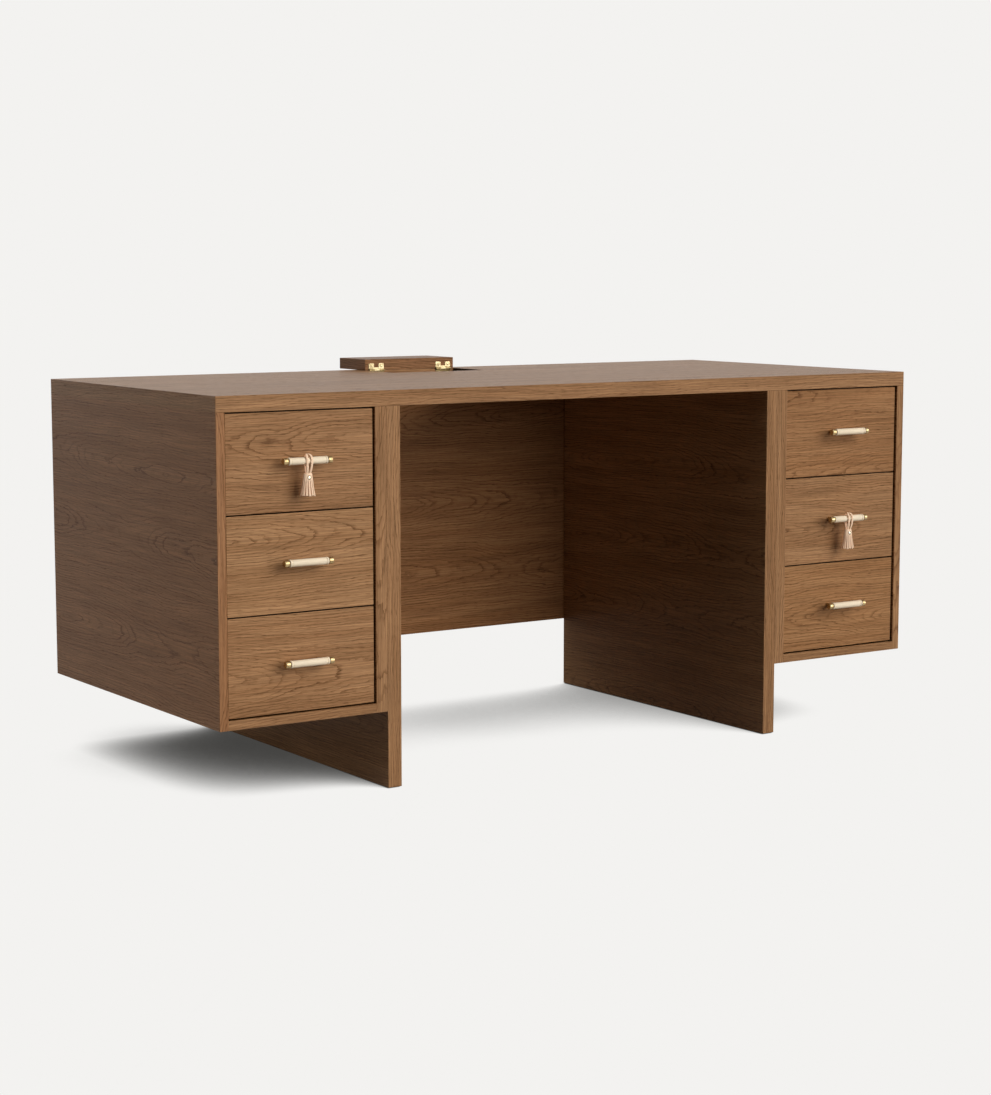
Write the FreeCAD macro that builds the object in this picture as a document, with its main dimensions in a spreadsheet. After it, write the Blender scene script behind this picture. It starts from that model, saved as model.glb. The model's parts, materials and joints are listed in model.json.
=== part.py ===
"""Pedestal desk with two hanging drawer pedestals, slab legs and a hinged cable lid.

Millimetres. +Z is up, the drawers face -Y and z = 0 is the floor. The origin lies under the middle
of the whole desk, from the tassels at the front to the open lid that overhangs the back.
"""
import FreeCAD
import Part
import Sketcher
import os
import re

ROWS = ("top", "middle", "bottom")
SIDES = {"left": "-", "right": ""}
TASSEL_DRAWERS = {"left": "top", "right": "middle"}

# Driving sizes, one sheet cell each.
SIZES = {
    # carcass
    "desk_width": 1674,
    "desk_depth": 740,
    "desk_height": 762,
    "top_thick": 30,
    "side_thick": 18,
    "inner_thick": 25,
    "leg_thick": 30,
    "floor_thick": 18,
    "back_thick": 6,
    "pedestal_lift": 150,
    "back_lift": 157,
    "opening_width": 314,
    "edge_round": 0.8,
    # rails that hold the top to each pedestal
    "rail_thick": 18,
    "rail_width": 80,
    "rail_setback": 3,
    # glides under the slab legs
    "glide_margin": 3,
    "glide_thick": 4,
    "glide_proud": 1.5,
    "glide_play": 0.2,
    "glide_inset": 60,
    "glide_round": 0.6,
    # drawers
    "drawer_gap": 2.5,
    "front_recess": 5,
    "front_thick": 20,
    "box_wall": 12,
    "box_bottom": 6,
    "box_headroom": 35,
    "box_footroom": 20,
    "groove_depth": 6,
    "groove_rise": 10,
    "groove_play": 0.2,
    # telescopic runners
    "runner_room": 12.7,
    "runner_height": 45.6,
    "runner_sheet": 1.2,
    "runner_play": 0.3,
    "runner_step": 0.8,
    "runner_setback": 2,
    "runner_back_room": 107,
    # pulls
    "pull_reach": 27,
    "pull_rise": 2.5,
    "grip_length": 81,
    "grip_radius": 6.75,
    "grip_play": 0.1,
    "collar_width": 4,
    "collar_rise": 0.35,
    "collar_groove": 0.9,
    "collar_cut": 0.5,
    "rod_radius": 3.5,
    "neck_radius": 4.4,
    "neck_length": 2,
    "knob_radius": 6.6,
    "knob_length": 8.5,
    "knob_round": 1.8,
    "post_spacing": 64,
    "post_radius": 3.4,
    "pull_screw_radius": 2,
    "pull_screw_play": 0.2,
    "pull_screw_bite": 12,
    "pull_head_radius": 4,
    "pull_head_thick": 2.5,
    "pull_head_round": 1,
    # tassels
    "strap_gap": 0.3,
    "strap_thick": 3,
    "strap_width": 13.5,
    "strap_straight": 3,
    "strap_drop": 22,
    "strap_tip": 8,
    "strap_join": 4,
    "slit_width": 5.5,
    "slit_rise": 7,
    "fringe_top_width": 16,
    "fringe_neck_width": 18,
    "fringe_tip_width": 30,
    "fringe_head_depth": 11,
    "fringe_tip_depth": 16,
    "fringe_head_length": 14,
    "fringe_length": 43,
    "stud_drop": 8.5,
    "stud_radius": 3.2,
    "stud_head": 1.7,
    "stud_round": 1.5,
    "stud_shank": 1.3,
    "stud_play": 0.1,
    "stud_bite": 6,
    # cable lid and its cut-out
    "lid_width": 230,
    "lid_depth": 112,
    "lid_gap": 1.5,
    "lid_lift": 0.3,
    "ledge_thick": 5.7,
    "ledge_width": 12,
    "back_strip": 43,
    # hinges of the lid
    "hinge_length": 38,
    "hinge_inset": 9,
    "hinge_set": 2.8,
    "barrel_play": 0.2,
    "knuckle_gap": 0.2,
    "pin_radius": 1.2,
    "pin_play": 0.05,
    "leaf_thick": 1.2,
    "leaf_height": 15,
    "leaf_round": 2,
    "leaf_notch_width": 12,
    "leaf_notch_depth": 9,
    "hinge_screw_drop": 9,
    "hinge_screw_radius": 1.3,
    "hinge_screw_play": 0.2,
    "hinge_screw_length": 12,
    "hinge_head_radius": 2.7,
    "hinge_head_thick": 1.1,
    "hinge_head_round": 0.7,
    # how far every cut runs past the faces it opens
    "overrun": 2,
}

# Sizes and places that follow from the driving sizes.
PLACES = {
    "strap_outer": "grip_radius + strap_gap + strap_thick",
    "front_reach": "pull_reach + strap_outer - front_recess",
    "back_reach": "lid_depth - back_strip",
    "desk_front": "(front_reach - desk_depth - back_reach) / 2",
    "desk_back": "desk_front + desk_depth",
    "under_top": "desk_height - top_thick",
    "carcass_depth": "desk_depth - back_thick",
    "opening_floor": "pedestal_lift + floor_thick",
    "opening_height": "under_top - opening_floor",
    "opening_side": "desk_width / 2 - side_thick",
    "opening_inner": "opening_side - opening_width",
    "pedestal_middle": "opening_side - opening_width / 2",
    "leg_side": "opening_inner - inner_thick",
    "leg_middle": "leg_side - leg_thick / 2",
    "glide_radius": "leg_thick / 2 - glide_margin",
    "glide_sunk": "glide_thick - glide_proud",
    "front_width": "opening_width - 2 * drawer_gap",
    "front_height": f"(opening_height - {len(ROWS) + 1} * drawer_gap) / {len(ROWS)}",
    "row_pitch": "front_height + drawer_gap",
    "row_first": "under_top - drawer_gap - front_height / 2",
    "face_place": "desk_front + front_recess",
    "box_width": "opening_width - 2 * runner_room",
    "box_inside": "box_width - 2 * box_wall",
    "box_low": "box_footroom - front_height / 2",
    "box_height": "front_height - box_footroom - box_headroom",
    "runner_length": "carcass_depth - front_recess - front_thick - runner_setback - runner_back_room",
    "runner_middle": "(box_footroom - box_headroom) / 2",
    "runner_start": "front_thick + runner_setback",
    "box_depth": "runner_length + runner_setback",
    "groove_floor": "box_low + groove_rise",
    "groove_height": "box_bottom + groove_play",
    "bottom_lap": "groove_depth - groove_play",
    "grip_half": "grip_length / 2",
    "neck_end": "grip_half + neck_length",
    "bar_half": "neck_end + knob_length",
    "collar_end": "grip_half - collar_width",
    "groove_end": "collar_end - collar_groove",
    "collar_radius": "grip_radius + collar_rise",
    "groove_radius": "grip_radius - collar_cut",
    "grip_bore": "rod_radius + grip_play",
    "pull_screw_hole": "pull_screw_radius + pull_screw_play",
    "box_front_back": "front_thick + box_wall",
    "strap_inner": "grip_radius + strap_gap",
    "lid_thick": "top_thick - ledge_thick - lid_lift",
    "hinge_wall": "desk_back - back_strip",
    "hinge_line": "hinge_wall - hinge_set",
    "hinge_height": "desk_height + lid_lift / 2",
    "hinge_middle": "lid_width / 2 - hinge_inset - hinge_length / 2",
    "lid_sweep": "sqrt((lid_depth + hinge_set)^2 + (lid_thick + lid_lift / 2)^2) - lid_depth - hinge_set",
    "pocket_depth": "2 * hinge_set + lid_depth + lid_sweep + lid_gap",
    "pocket_width": "lid_width + 2 * lid_gap",
    "barrel_radius": "hinge_set - barrel_play",
    "leaf_clear": "barrel_radius + barrel_play",
    "leaf_face": "hinge_set - leaf_thick",
    "knuckle_end": "hinge_length / 6 + knuckle_gap / 2",
    "tongue_end": "hinge_length / 6 - knuckle_gap / 2",
    "hinge_screw_place": "(hinge_length + leaf_notch_width) / 4",
    "hinge_screw_hole": "hinge_screw_radius + hinge_screw_play",
    "hinge_screw_sunk": "hinge_screw_length - leaf_thick + hinge_screw_play",
}

# An eight-sided outline, as shares of its half width and half depth.
FRINGE_SHARES = ((0.5, -1), (1, -0.5), (1, 0.5), (0.5, 1), (-0.5, 1), (-1, 0.5), (-1, -0.5), (-0.5, -1))

TURNED = {
    "x": FreeCAD.Rotation(FreeCAD.Vector(0, 1, 0), 90),
    "y": FreeCAD.Rotation(FreeCAD.Vector(1, 0, 0), -90),
    "z": FreeCAD.Rotation(),
}
HALF_TURN = FreeCAD.Rotation(FreeCAD.Vector(0, 0, 1), 180)

doc = FreeCAD.newDocument("PedestalDesk")


def formula(text):
    """Point each size named in a formula at the sheet that holds it."""

    def cell(match):
        name = match.group(0)
        if name in SIZES:
            return f"Sizes.{name}"
        if name in PLACES:
            return f"Places.{name}"
        return name

    return re.sub(r"[a-z_]+", cell, text)


def fill_sheet(name, cells):
    """Lay named cells out in a sheet, one row each."""
    sheet = doc.addObject("Spreadsheet::Sheet", name)
    for row, (alias, text) in enumerate(cells.items(), start=1):
        sheet.set(f"A{row}", alias)
        sheet.set(f"B{row}", text)
        sheet.setAlias(f"B{row}", alias)
    return sheet


def bind(thing, prop, text):
    thing.setExpression(prop, formula(text))


def place(thing, at):
    for axis, text in zip("xyz", at):
        bind(thing, f"Placement.Base.{axis}", text)


def new_body(label, at=("0", "0", "0")):
    body = doc.addObject("PartDesign::Body", label)
    body.Label = label
    place(body, at)
    return body


def block(body, name, size, at, cut=False):
    """Add or cut a box that starts at its lowest corner."""
    kind = "SubtractiveBox" if cut else "AdditiveBox"
    feature = body.newObject(f"PartDesign::{kind}", name)
    for prop, text in zip(("Length", "Width", "Height"), size):
        bind(feature, prop, text)
    place(feature, at)
    return feature


def round_bar(body, name, radius, length, at, along, cut=False):
    """Add or cut a cylinder that starts at a point and runs along +x, +y or +z."""
    kind = "SubtractiveCylinder" if cut else "AdditiveCylinder"
    feature = body.newObject(f"PartDesign::{kind}", name)
    feature.Placement = FreeCAD.Placement(FreeCAD.Vector(), TURNED[along])
    bind(feature, "Radius", radius)
    bind(feature, "Height", length)
    place(feature, at)
    return feature


def outline(body, name, plane, points, lift="0"):
    """Sketch a closed outline through points given as pairs of formulas."""
    sketch = body.newObject("Sketcher::SketchObject", name)
    support = [item for item in body.Origin.OriginFeatures if item.Role == plane]
    sketch.AttachmentSupport = (support[0], [""])
    sketch.MapMode = "FlatFace"
    bind(sketch, "AttachmentOffset.Base.z", lift)
    spots = [[sketch.evalExpression(formula(text)) for text in point] for point in points]
    for index, spot in enumerate(spots):
        after = spots[(index + 1) % len(spots)]
        line = Part.LineSegment(FreeCAD.Vector(*spot, 0), FreeCAD.Vector(*after, 0))
        sketch.addGeometry(line, False)
    for index, point in enumerate(points):
        after = (index + 1) % len(points)
        sketch.addConstraint(Sketcher.Constraint("Coincident", index, 2, after, 1))
        for kind, text, spot in zip(("DistanceX", "DistanceY"), point, spots[index]):
            number = sketch.addConstraint(Sketcher.Constraint(kind, -1, 1, index, 1, float(spot)))
            bind(sketch, f"Constraints[{number}]", text)
    return sketch


def pad(body, name, sketch, length, reverse=False, middle=False, cut=False):
    feature = body.newObject("PartDesign::Pocket" if cut else "PartDesign::Pad", name)
    feature.Profile = sketch
    feature.Reversed = reverse
    feature.Midplane = middle
    bind(feature, "Length", length)
    return feature


def spin(body, name, sketch):
    """Turn an outline about the sketch's own x axis."""
    feature = body.newObject("PartDesign::Revolution", name)
    feature.Profile = sketch
    feature.ReferenceAxis = (sketch, ["H_Axis"])
    return feature


def ease(body, radius, pick):
    """Round the edges whose middles, as shares of the body's box, are picked."""
    doc.recompute()
    tip = body.Tip
    frame = tip.Shape.BoundBox
    names = []
    for number, edge in enumerate(tip.Shape.Edges, start=1):
        middle = edge.CenterOfMass
        shares = (
            round((middle.x - frame.XMin) / frame.XLength, 2),
            round((middle.y - frame.YMin) / frame.YLength, 2),
            round((middle.z - frame.ZMin) / frame.ZLength, 2),
        )
        if pick(*shares):
            names.append(f"Edge{number}")
    feature = body.newObject("PartDesign::Fillet", "Eased")
    feature.Base = (tip, names)
    bind(feature, "Radius", radius)
    return feature


def group(label, members):
    compound = doc.addObject("Part::Compound", label)
    compound.Label = label
    compound.Links = members
    return compound


def copy(master, label, at, half_turn=False):
    """Repeat a modelled piece, moved from its own place."""
    twin = doc.addObject("App::Link", label)
    twin.LinkedObject = master
    twin.LinkTransform = True
    twin.Label = label
    if half_turn:
        twin.Placement = FreeCAD.Placement(FreeCAD.Vector(), HALF_TURN)
    place(twin, at)
    return twin


def board(label, size, at, pick=None):
    """Cut a plain board to size and ease the picked edges."""
    body = new_body(label, at)
    block(body, "Blank", size, ("0", "0", "0"))
    if pick:
        ease(body, "edge_round", pick)
    return body


def start_of(sign, near, thick):
    """Lowest x of a piece that starts at a distance from the middle and runs outwards."""
    return f"-({near}) - ({thick})" if sign else near


def make_carcass():
    """Panels, floors, legs, back, rails and glides."""
    pieces = []
    panel_height = "under_top - pedestal_lift"
    rails = []
    glides = []
    for side, sign in SIDES.items():
        pieces.append(board(
            f"{side}_side_panel",
            ("side_thick", "desk_depth", panel_height),
            (start_of(sign, "opening_side", "side_thick"), "desk_front", "pedestal_lift"),
            lambda u, v, w: w < 1,
        ))
        pieces.append(board(
            f"{side}_inner_panel",
            ("inner_thick", "carcass_depth", panel_height),
            (start_of(sign, "leg_side", "inner_thick"), "desk_front", "pedestal_lift"),
            lambda u, v, w: w < 1,
        ))
        pieces.append(board(
            f"{side}_pedestal_floor",
            ("opening_width", "carcass_depth", "floor_thick"),
            (start_of(sign, "opening_inner", "opening_width"), "desk_front", "pedestal_lift"),
            lambda u, v, w: v == 0 and u == 0.5,
        ))
        pieces.append(make_leg(side, sign))
        for end, along in (
            ("front", "face_place + front_thick + rail_setback"),
            ("back", "desk_front + carcass_depth - rail_width"),
        ):
            rails.append(board(
                f"{side}_{end}_rail",
                ("opening_width", "rail_width", "rail_thick"),
                (start_of(sign, "opening_inner", "opening_width"), along, "under_top - rail_thick"),
            ))
        for end, along in glide_places().items():
            glide = new_body(f"{side}_{end}_glide", (f"{sign}leg_middle", along, "0"))
            round_bar(glide, "Disc", "glide_radius", "glide_thick", ("0", "0", "0"), "z")
            ease(glide, "glide_round", lambda u, v, w: w == 0)
            glides.append(glide)
    pieces.append(board(
        "back_panel",
        ("2 * opening_side", "back_thick", "under_top - back_lift"),
        ("-opening_side", "desk_front + carcass_depth", "back_lift"),
        lambda u, v, w: v == 1 and w < 1 or w == 0,
    ))
    pieces.append(group("top_rails", rails))
    pieces.append(group("floor_glides", glides))
    return pieces


def glide_places():
    return {
        "front": "desk_front + glide_inset",
        "back": "desk_front + carcass_depth - glide_inset",
    }


def make_leg(side, sign):
    """A slab leg with a sunk seat for each of its two glides."""
    leg = board(
        f"{side}_slab_leg",
        ("leg_thick", "carcass_depth", "under_top - glide_proud"),
        (start_of(sign, "leg_side - leg_thick", "leg_thick"), "desk_front", "glide_proud"),
        lambda u, v, w: w < 1,
    )
    for end, along in glide_places().items():
        round_bar(
            leg, f"{end}_seat", "glide_radius + glide_play", "glide_sunk + overrun",
            ("leg_thick / 2", f"{along} - desk_front", "-overrun"), "z", cut=True,
        )
    return leg


def hinge_spots():
    """Middles of the two hinges and of the two screws in a leaf, along x."""
    return {
        f"{side}_{screw}": f"{sign}hinge_middle {'-' if mark else '+'} hinge_screw_place"
        for side, sign in SIDES.items()
        for screw, mark in SIDES.items()
    }


def make_top():
    """The top, with a stepped cut-out whose back wall carries the hinges."""
    top = board(
        "desk_top",
        ("desk_width", "desk_depth", "top_thick"),
        ("-desk_width / 2", "desk_front", "under_top"),
        lambda u, v, w: w > 0 or v == 0,
    )
    wall = "hinge_wall - desk_front"
    block(
        top, "LidPocket",
        ("pocket_width", "pocket_depth", "lid_thick + lid_lift + overrun"),
        ("(desk_width - pocket_width) / 2", f"{wall} - pocket_depth", "ledge_thick"),
        cut=True,
    )
    block(
        top, "CableHole",
        ("pocket_width - 2 * ledge_width", "pocket_depth - ledge_width", "top_thick + 2 * overrun"),
        ("(desk_width - pocket_width) / 2 + ledge_width",
         f"{wall} - pocket_depth + ledge_width", "-overrun"),
        cut=True,
    )
    for name, along in hinge_spots().items():
        round_bar(
            top, f"{name}_pilot", "hinge_screw_hole", "hinge_screw_sunk + overrun",
            (f"desk_width / 2 + {along}", f"{wall} - overrun",
             "hinge_height - hinge_screw_drop - under_top"), "y", cut=True,
        )
    return top


def make_lid():
    """The cable lid, lying open on the strip behind its cut-out."""
    lid = board(
        "cable_lid",
        ("lid_width", "lid_depth", "lid_thick"),
        ("-lid_width / 2", "hinge_wall", "desk_height + lid_lift"),
        lambda u, v, w: True,
    )
    for name, along in hinge_spots().items():
        round_bar(
            lid, f"{name}_pilot", "hinge_screw_hole", "hinge_screw_sunk + overrun",
            (f"lid_width / 2 + {along}", "-overrun", "hinge_screw_drop - lid_lift / 2"), "y", cut=True,
        )
    return lid


def make_leaf(label, outline_points, knuckles):
    """A hinge leaf: a notched plate with its knuckles, bored for the pin and the screws."""
    leaf = new_body(label)
    sketch = outline(leaf, "Plate", "XZ_Plane", outline_points, "-leaf_face")
    pad(leaf, "PlateThick", sketch, "leaf_thick", reverse=True)
    ease(leaf, "leaf_round", lambda u, v, w: v == 0.5 and w == (0 if label == "frame_leaf" else 1))
    for number, (start, length) in enumerate(knuckles):
        round_bar(leaf, f"Knuckle{number}", "barrel_radius", length, (start, "0", "0"), "x")
    round_bar(
        leaf, "PinBore", "pin_radius + pin_play", "hinge_length + 2 * overrun",
        ("-hinge_length / 2 - overrun", "0", "0"), "x", cut=True,
    )
    drop = "-hinge_screw_drop" if label == "frame_leaf" else "hinge_screw_drop"
    for mark in SIDES.values():
        round_bar(
            leaf, "ScrewHole", "hinge_screw_hole", "leaf_thick + 2 * overrun",
            (f"{mark}hinge_screw_place", "leaf_face - overrun", drop), "y", cut=True,
        )
    return leaf


def make_hinges():
    """Leaves, pins and screws of the two butt hinges."""
    half = "hinge_length / 2"
    notch = "leaf_notch_width / 2"
    frame_leaf = make_leaf("frame_leaf", [
        (f"-{half}", "0"), ("-knuckle_end", "0"), ("-knuckle_end", "-leaf_clear"),
        ("knuckle_end", "-leaf_clear"), ("knuckle_end", "0"), (half, "0"),
        (half, "-leaf_height"), (notch, "-leaf_height"), (notch, "leaf_notch_depth - leaf_height"),
        (f"-{notch}", "leaf_notch_depth - leaf_height"), (f"-{notch}", "-leaf_height"),
        (f"-{half}", "-leaf_height"),
    ], [(f"-{half}", f"{half} - knuckle_end"), ("knuckle_end", f"{half} - knuckle_end")])
    lid_leaf = make_leaf("lid_leaf", [
        ("-tongue_end", "0"), ("tongue_end", "0"), ("tongue_end", "leaf_clear"), (half, "leaf_clear"),
        (half, "leaf_height"), (notch, "leaf_height"), (notch, "leaf_height - leaf_notch_depth"),
        (f"-{notch}", "leaf_height - leaf_notch_depth"), (f"-{notch}", "leaf_height"),
        (f"-{half}", "leaf_height"), (f"-{half}", "leaf_clear"), ("-tongue_end", "leaf_clear"),
    ], [("-tongue_end", "2 * tongue_end")])
    pin = new_body("hinge_pin")
    round_bar(pin, "Pin", "pin_radius", "hinge_length", (f"-{half}", "0", "0"), "x")
    screw = new_body("hinge_screw")
    round_bar(screw, "Head", "hinge_head_radius", "hinge_head_thick", ("0", "-hinge_head_thick", "0"), "y")
    ease(screw, "hinge_head_round", lambda u, v, w: v == 0)
    round_bar(screw, "Shank", "hinge_screw_radius", "hinge_screw_length", ("0", "0", "0"), "y")

    leaves = {"frame": [], "lid": []}
    pins = []
    for side, sign in SIDES.items():
        at = (f"{sign}hinge_middle", "hinge_line", "hinge_height")
        leaves["frame"].append(copy(frame_leaf, f"{side}_frame_leaf", at))
        leaves["lid"].append(copy(lid_leaf, f"{side}_lid_leaf", at))
        pins.append(copy(pin, f"{side}_hinge_pin", at))
    screws = {"frame": [], "lid": []}
    for name, along in hinge_spots().items():
        for half_name, mark in (("frame", "-"), ("lid", "+")):
            at = (along, "hinge_line + leaf_face", f"hinge_height {mark} hinge_screw_drop")
            screws[half_name].append(copy(screw, f"{name}_{half_name}_screw", at))
    return [
        group("hinge_frame_leaves", leaves["frame"]),
        group("hinge_lid_leaves", leaves["lid"]),
        group("hinge_pins", pins),
        group("hinge_frame_screws", screws["frame"]),
        group("hinge_lid_screws", screws["lid"]),
    ]


def make_front():
    """A drawer front, drilled for the pull, with its face at y = 0 and its middle at the origin."""
    front = new_body("drawer_front", ("-front_width / 2", "0", "-front_height / 2"))
    block(front, "Blank", ("front_width", "front_thick", "front_height"), ("0", "0", "0"))
    ease(front, "edge_round", lambda u, v, w: True)
    drill_for_pull(front, "front_width / 2", "front_height / 2 + pull_rise", "front_thick")
    return front


def drill_for_pull(body, middle, height, thick):
    for mark, name in (("-", "LeftHole"), ("+", "RightHole")):
        round_bar(
            body, name, "pull_screw_hole", f"{thick} + 2 * overrun",
            (f"{middle} {mark} post_spacing / 2", "-overrun", height), "y", cut=True,
        )


def make_box():
    """Drawer box boards, with the bottom held in grooves of the sides and the inner front."""
    boards = []
    for side, sign in SIDES.items():
        wall = board(
            f"box_{side}_side", ("box_wall", "box_depth", "box_height"),
            (start_of(sign, "box_inside / 2", "box_wall"), "front_thick", "box_low"),
            lambda u, v, w: w == 1 and v == 0.5,
        )
        block(
            wall, "Groove", ("groove_depth", "box_depth + 2 * overrun", "groove_height"),
            ("box_wall - groove_depth" if sign else "0", "-overrun", "groove_rise"), cut=True,
        )
        boards.append(wall)
    inner_front = board(
        "box_inner_front", ("box_inside", "box_wall", "box_height"),
        ("-box_inside / 2", "front_thick", "box_low"),
        lambda u, v, w: w == 1 and u == 0.5,
    )
    block(
        inner_front, "Groove", ("box_inside + 2 * overrun", "groove_depth", "groove_height"),
        ("-overrun", "box_wall - groove_depth", "groove_rise"), cut=True,
    )
    drill_for_pull(inner_front, "box_inside / 2", "pull_rise - box_low", "box_wall")
    boards.append(inner_front)
    boards.append(board(
        "box_back",
        ("box_inside", "box_wall", "box_height - groove_rise - groove_height"),
        ("-box_inside / 2", "front_thick + box_depth - box_wall", "groove_floor + groove_height"),
        lambda u, v, w: w == 1 and u == 0.5,
    ))
    boards.append(board(
        "box_bottom",
        ("box_inside + 2 * bottom_lap", "box_depth - box_wall + bottom_lap", "box_bottom"),
        ("-box_inside / 2 - bottom_lap", "box_front_back - bottom_lap", "groove_floor"),
    ))
    return group("drawer_box", boards)


def channel_outline(low, high, half, web_last=False):
    """A C section between two x places, with its web at the first or the last of them."""
    inside = f"({half} - runner_sheet)"
    web = f"({high} - runner_sheet)" if web_last else f"({low} + runner_sheet)"
    back, lips = (high, low) if web_last else (low, high)
    return [
        (back, f"-{half}"), (lips, f"-{half}"), (lips, f"-{inside}"), (web, f"-{inside}"),
        (web, inside), (lips, inside), (lips, half), (back, half),
    ]


def make_runner(name, points):
    """One member of a runner, with the carcass wall at x = 0 and its front end at y = 0."""
    member = new_body(name)
    sketch = outline(member, "Section", "XZ_Plane", points)
    pad(member, "Run", sketch, "runner_length", reverse=True)
    return member


def make_runners():
    """The three nested members of a telescopic runner."""
    middle_web = "(runner_sheet + runner_step)"
    middle_lips = "(runner_room - runner_sheet - runner_step)"
    half = "(runner_height / 2)"
    nest = "(runner_sheet + runner_play)"
    return {
        "cabinet": make_runner(
            "cabinet_member", channel_outline("0", f"({middle_lips} - runner_step)", half)),
        "middle": make_runner(
            "middle_member", channel_outline(middle_web, middle_lips, f"({half} - {nest})")),
        "drawer": make_runner(
            "drawer_member",
            channel_outline(f"(2 * {middle_web})", "runner_room", f"({half} - 2 * {nest})", web_last=True)),
    }


def runner_pair(member, label, at=("0", "0", "0")):
    """Both runners of one drawer, on the two walls of its opening."""
    x, y, z = at
    height = f"{z} + runner_middle"
    return [
        copy(member, f"{label}_left", (f"{x} - opening_width / 2", f"{y} + runner_start", height)),
        copy(member, f"{label}_right",
             (f"{x} + opening_width / 2", f"{y} + runner_start + runner_length", height), half_turn=True),
    ]


def make_pull():
    """The brass bar with its knobs and posts, and the screws that hold it from inside the drawer."""
    bar = new_body("pull_bar", ("0", "-pull_reach", "pull_rise"))
    rising = [
        ("-bar_half", "0"), ("-bar_half", "knob_radius"), ("-neck_end", "knob_radius"),
        ("-neck_end", "neck_radius"), ("-grip_half", "neck_radius"), ("-grip_half", "rod_radius"),
    ]
    falling = [(x.lstrip("-"), radius) for x, radius in reversed(rising)]
    spin(bar, "Turned", outline(bar, "Profile", "XY_Plane", rising + falling))
    ease(bar, "knob_round", lambda u, v, w: u in (0, 1))
    for sign in SIDES.values():
        at = f"{sign}post_spacing / 2"
        round_bar(bar, "Post", "post_radius", "pull_reach", (at, "0", "0"), "y")
        round_bar(
            bar, "Thread", "pull_screw_hole", "pull_screw_bite + pull_screw_play + overrun",
            (at, "pull_reach - pull_screw_bite - pull_screw_play", "0"), "y", cut=True,
        )
    screw = new_body("pull_screw")
    round_bar(screw, "Head", "pull_head_radius", "pull_head_thick", ("0", "box_front_back", "0"), "y")
    ease(screw, "pull_head_round", lambda u, v, w: v == 1)
    round_bar(
        screw, "Shank", "pull_screw_radius", "box_front_back + pull_screw_bite",
        ("0", "-pull_screw_bite", "0"), "y",
    )
    screws = [
        copy(screw, f"{side}_pull_screw", (f"{sign}post_spacing / 2", "0", "pull_rise"))
        for side, sign in SIDES.items()
    ]
    return group("pull", [bar] + screws)


def make_grip():
    """The leather grip: a sleeve with a grooved collar at each end, cut away round the posts."""
    grip = new_body("pull_grip", ("0", "-pull_reach", "pull_rise"))
    rising = [
        ("-grip_half", "grip_bore"), ("-grip_half", "collar_radius"), ("-collar_end", "collar_radius"),
        ("-collar_end", "groove_radius"), ("-groove_end", "groove_radius"), ("-groove_end", "grip_radius"),
    ]
    falling = [(x.lstrip("-"), radius) for x, radius in reversed(rising)]
    spin(grip, "Turned", outline(grip, "Profile", "XY_Plane", rising + falling))
    for sign in SIDES.values():
        round_bar(
            grip, "PostHole", "post_radius + grip_play", "grip_radius + overrun",
            (f"{sign}post_spacing / 2", "0", "0"), "y", cut=True,
        )
    return grip


def make_tassel():
    """A strap over the grip, slit at the front, with a fringe below it. The origin is the grip's axis."""
    strap = new_body("tassel_strap", ("-strap_width / 2", "0", "0"))
    round_bar(strap, "Crown", "strap_outer", "strap_width", ("0", "0", "0"), "x")
    pad(strap, "Legs", outline(strap, "LegsOutline", "YZ_Plane", [
        ("-strap_outer", "0"), ("strap_outer", "0"), ("strap_outer", "-strap_straight"),
        ("strap_tip / 2", "-strap_drop"), ("-strap_tip / 2", "-strap_drop"),
        ("-strap_outer", "-strap_straight"),
    ]), "strap_width")
    round_bar(
        strap, "Eye", "strap_inner", "strap_width + 2 * overrun", ("-overrun", "0", "0"), "x", cut=True)
    tip = "(strap_tip / 2 - strap_thick)"
    pad(strap, "Gap", outline(strap, "GapOutline", "YZ_Plane", [
        ("-strap_inner", "0"), ("strap_inner", "0"), ("strap_inner", "-strap_straight"),
        (tip, "strap_join - strap_drop"), (f"-{tip}", "strap_join - strap_drop"),
        ("-strap_inner", "-strap_straight"),
    ]), "strap_width", reverse=True, cut=True)
    block(
        strap, "Slit", ("slit_width", "strap_outer + overrun", "slit_rise + strap_drop - strap_join"),
        ("(strap_width - slit_width) / 2", "-strap_outer - overrun", "strap_join - strap_drop"), cut=True,
    )

    fringe = new_body("tassel_fringe", ("0", "0", "-strap_drop"))
    sections = []
    for name, width, depth, lift in (
        ("Top", "fringe_top_width", "fringe_head_depth", "0"),
        ("Neck", "fringe_neck_width", "fringe_head_depth", "-fringe_head_length"),
        ("Tip", "fringe_tip_width", "fringe_tip_depth", "-fringe_length"),
    ):
        points = [(f"{u} * {width} / 2", f"{v} * {depth} / 2") for u, v in FRINGE_SHARES]
        sections.append(outline(fringe, name, "XY_Plane", points, lift))
    loft = fringe.newObject("PartDesign::AdditiveLoft", "Strands")
    loft.Profile = sections[0]
    loft.Sections = sections[1:]
    loft.Ruled = True
    round_bar(
        fringe, "StudHole", "stud_shank + stud_play", "stud_bite + stud_play + overrun",
        ("0", "-fringe_head_depth / 2 - overrun", "-stud_drop"), "y", cut=True,
    )

    stud = new_body("tassel_stud", ("0", "-fringe_head_depth / 2", "-strap_drop - stud_drop"))
    round_bar(stud, "Head", "stud_radius", "stud_head", ("0", "-stud_head", "0"), "y")
    ease(stud, "stud_round", lambda u, v, w: v == 0)
    round_bar(stud, "Shank", "stud_shank", "stud_bite", ("0", "0", "0"), "y")
    return group("tassel", [strap, fringe]), stud


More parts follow.
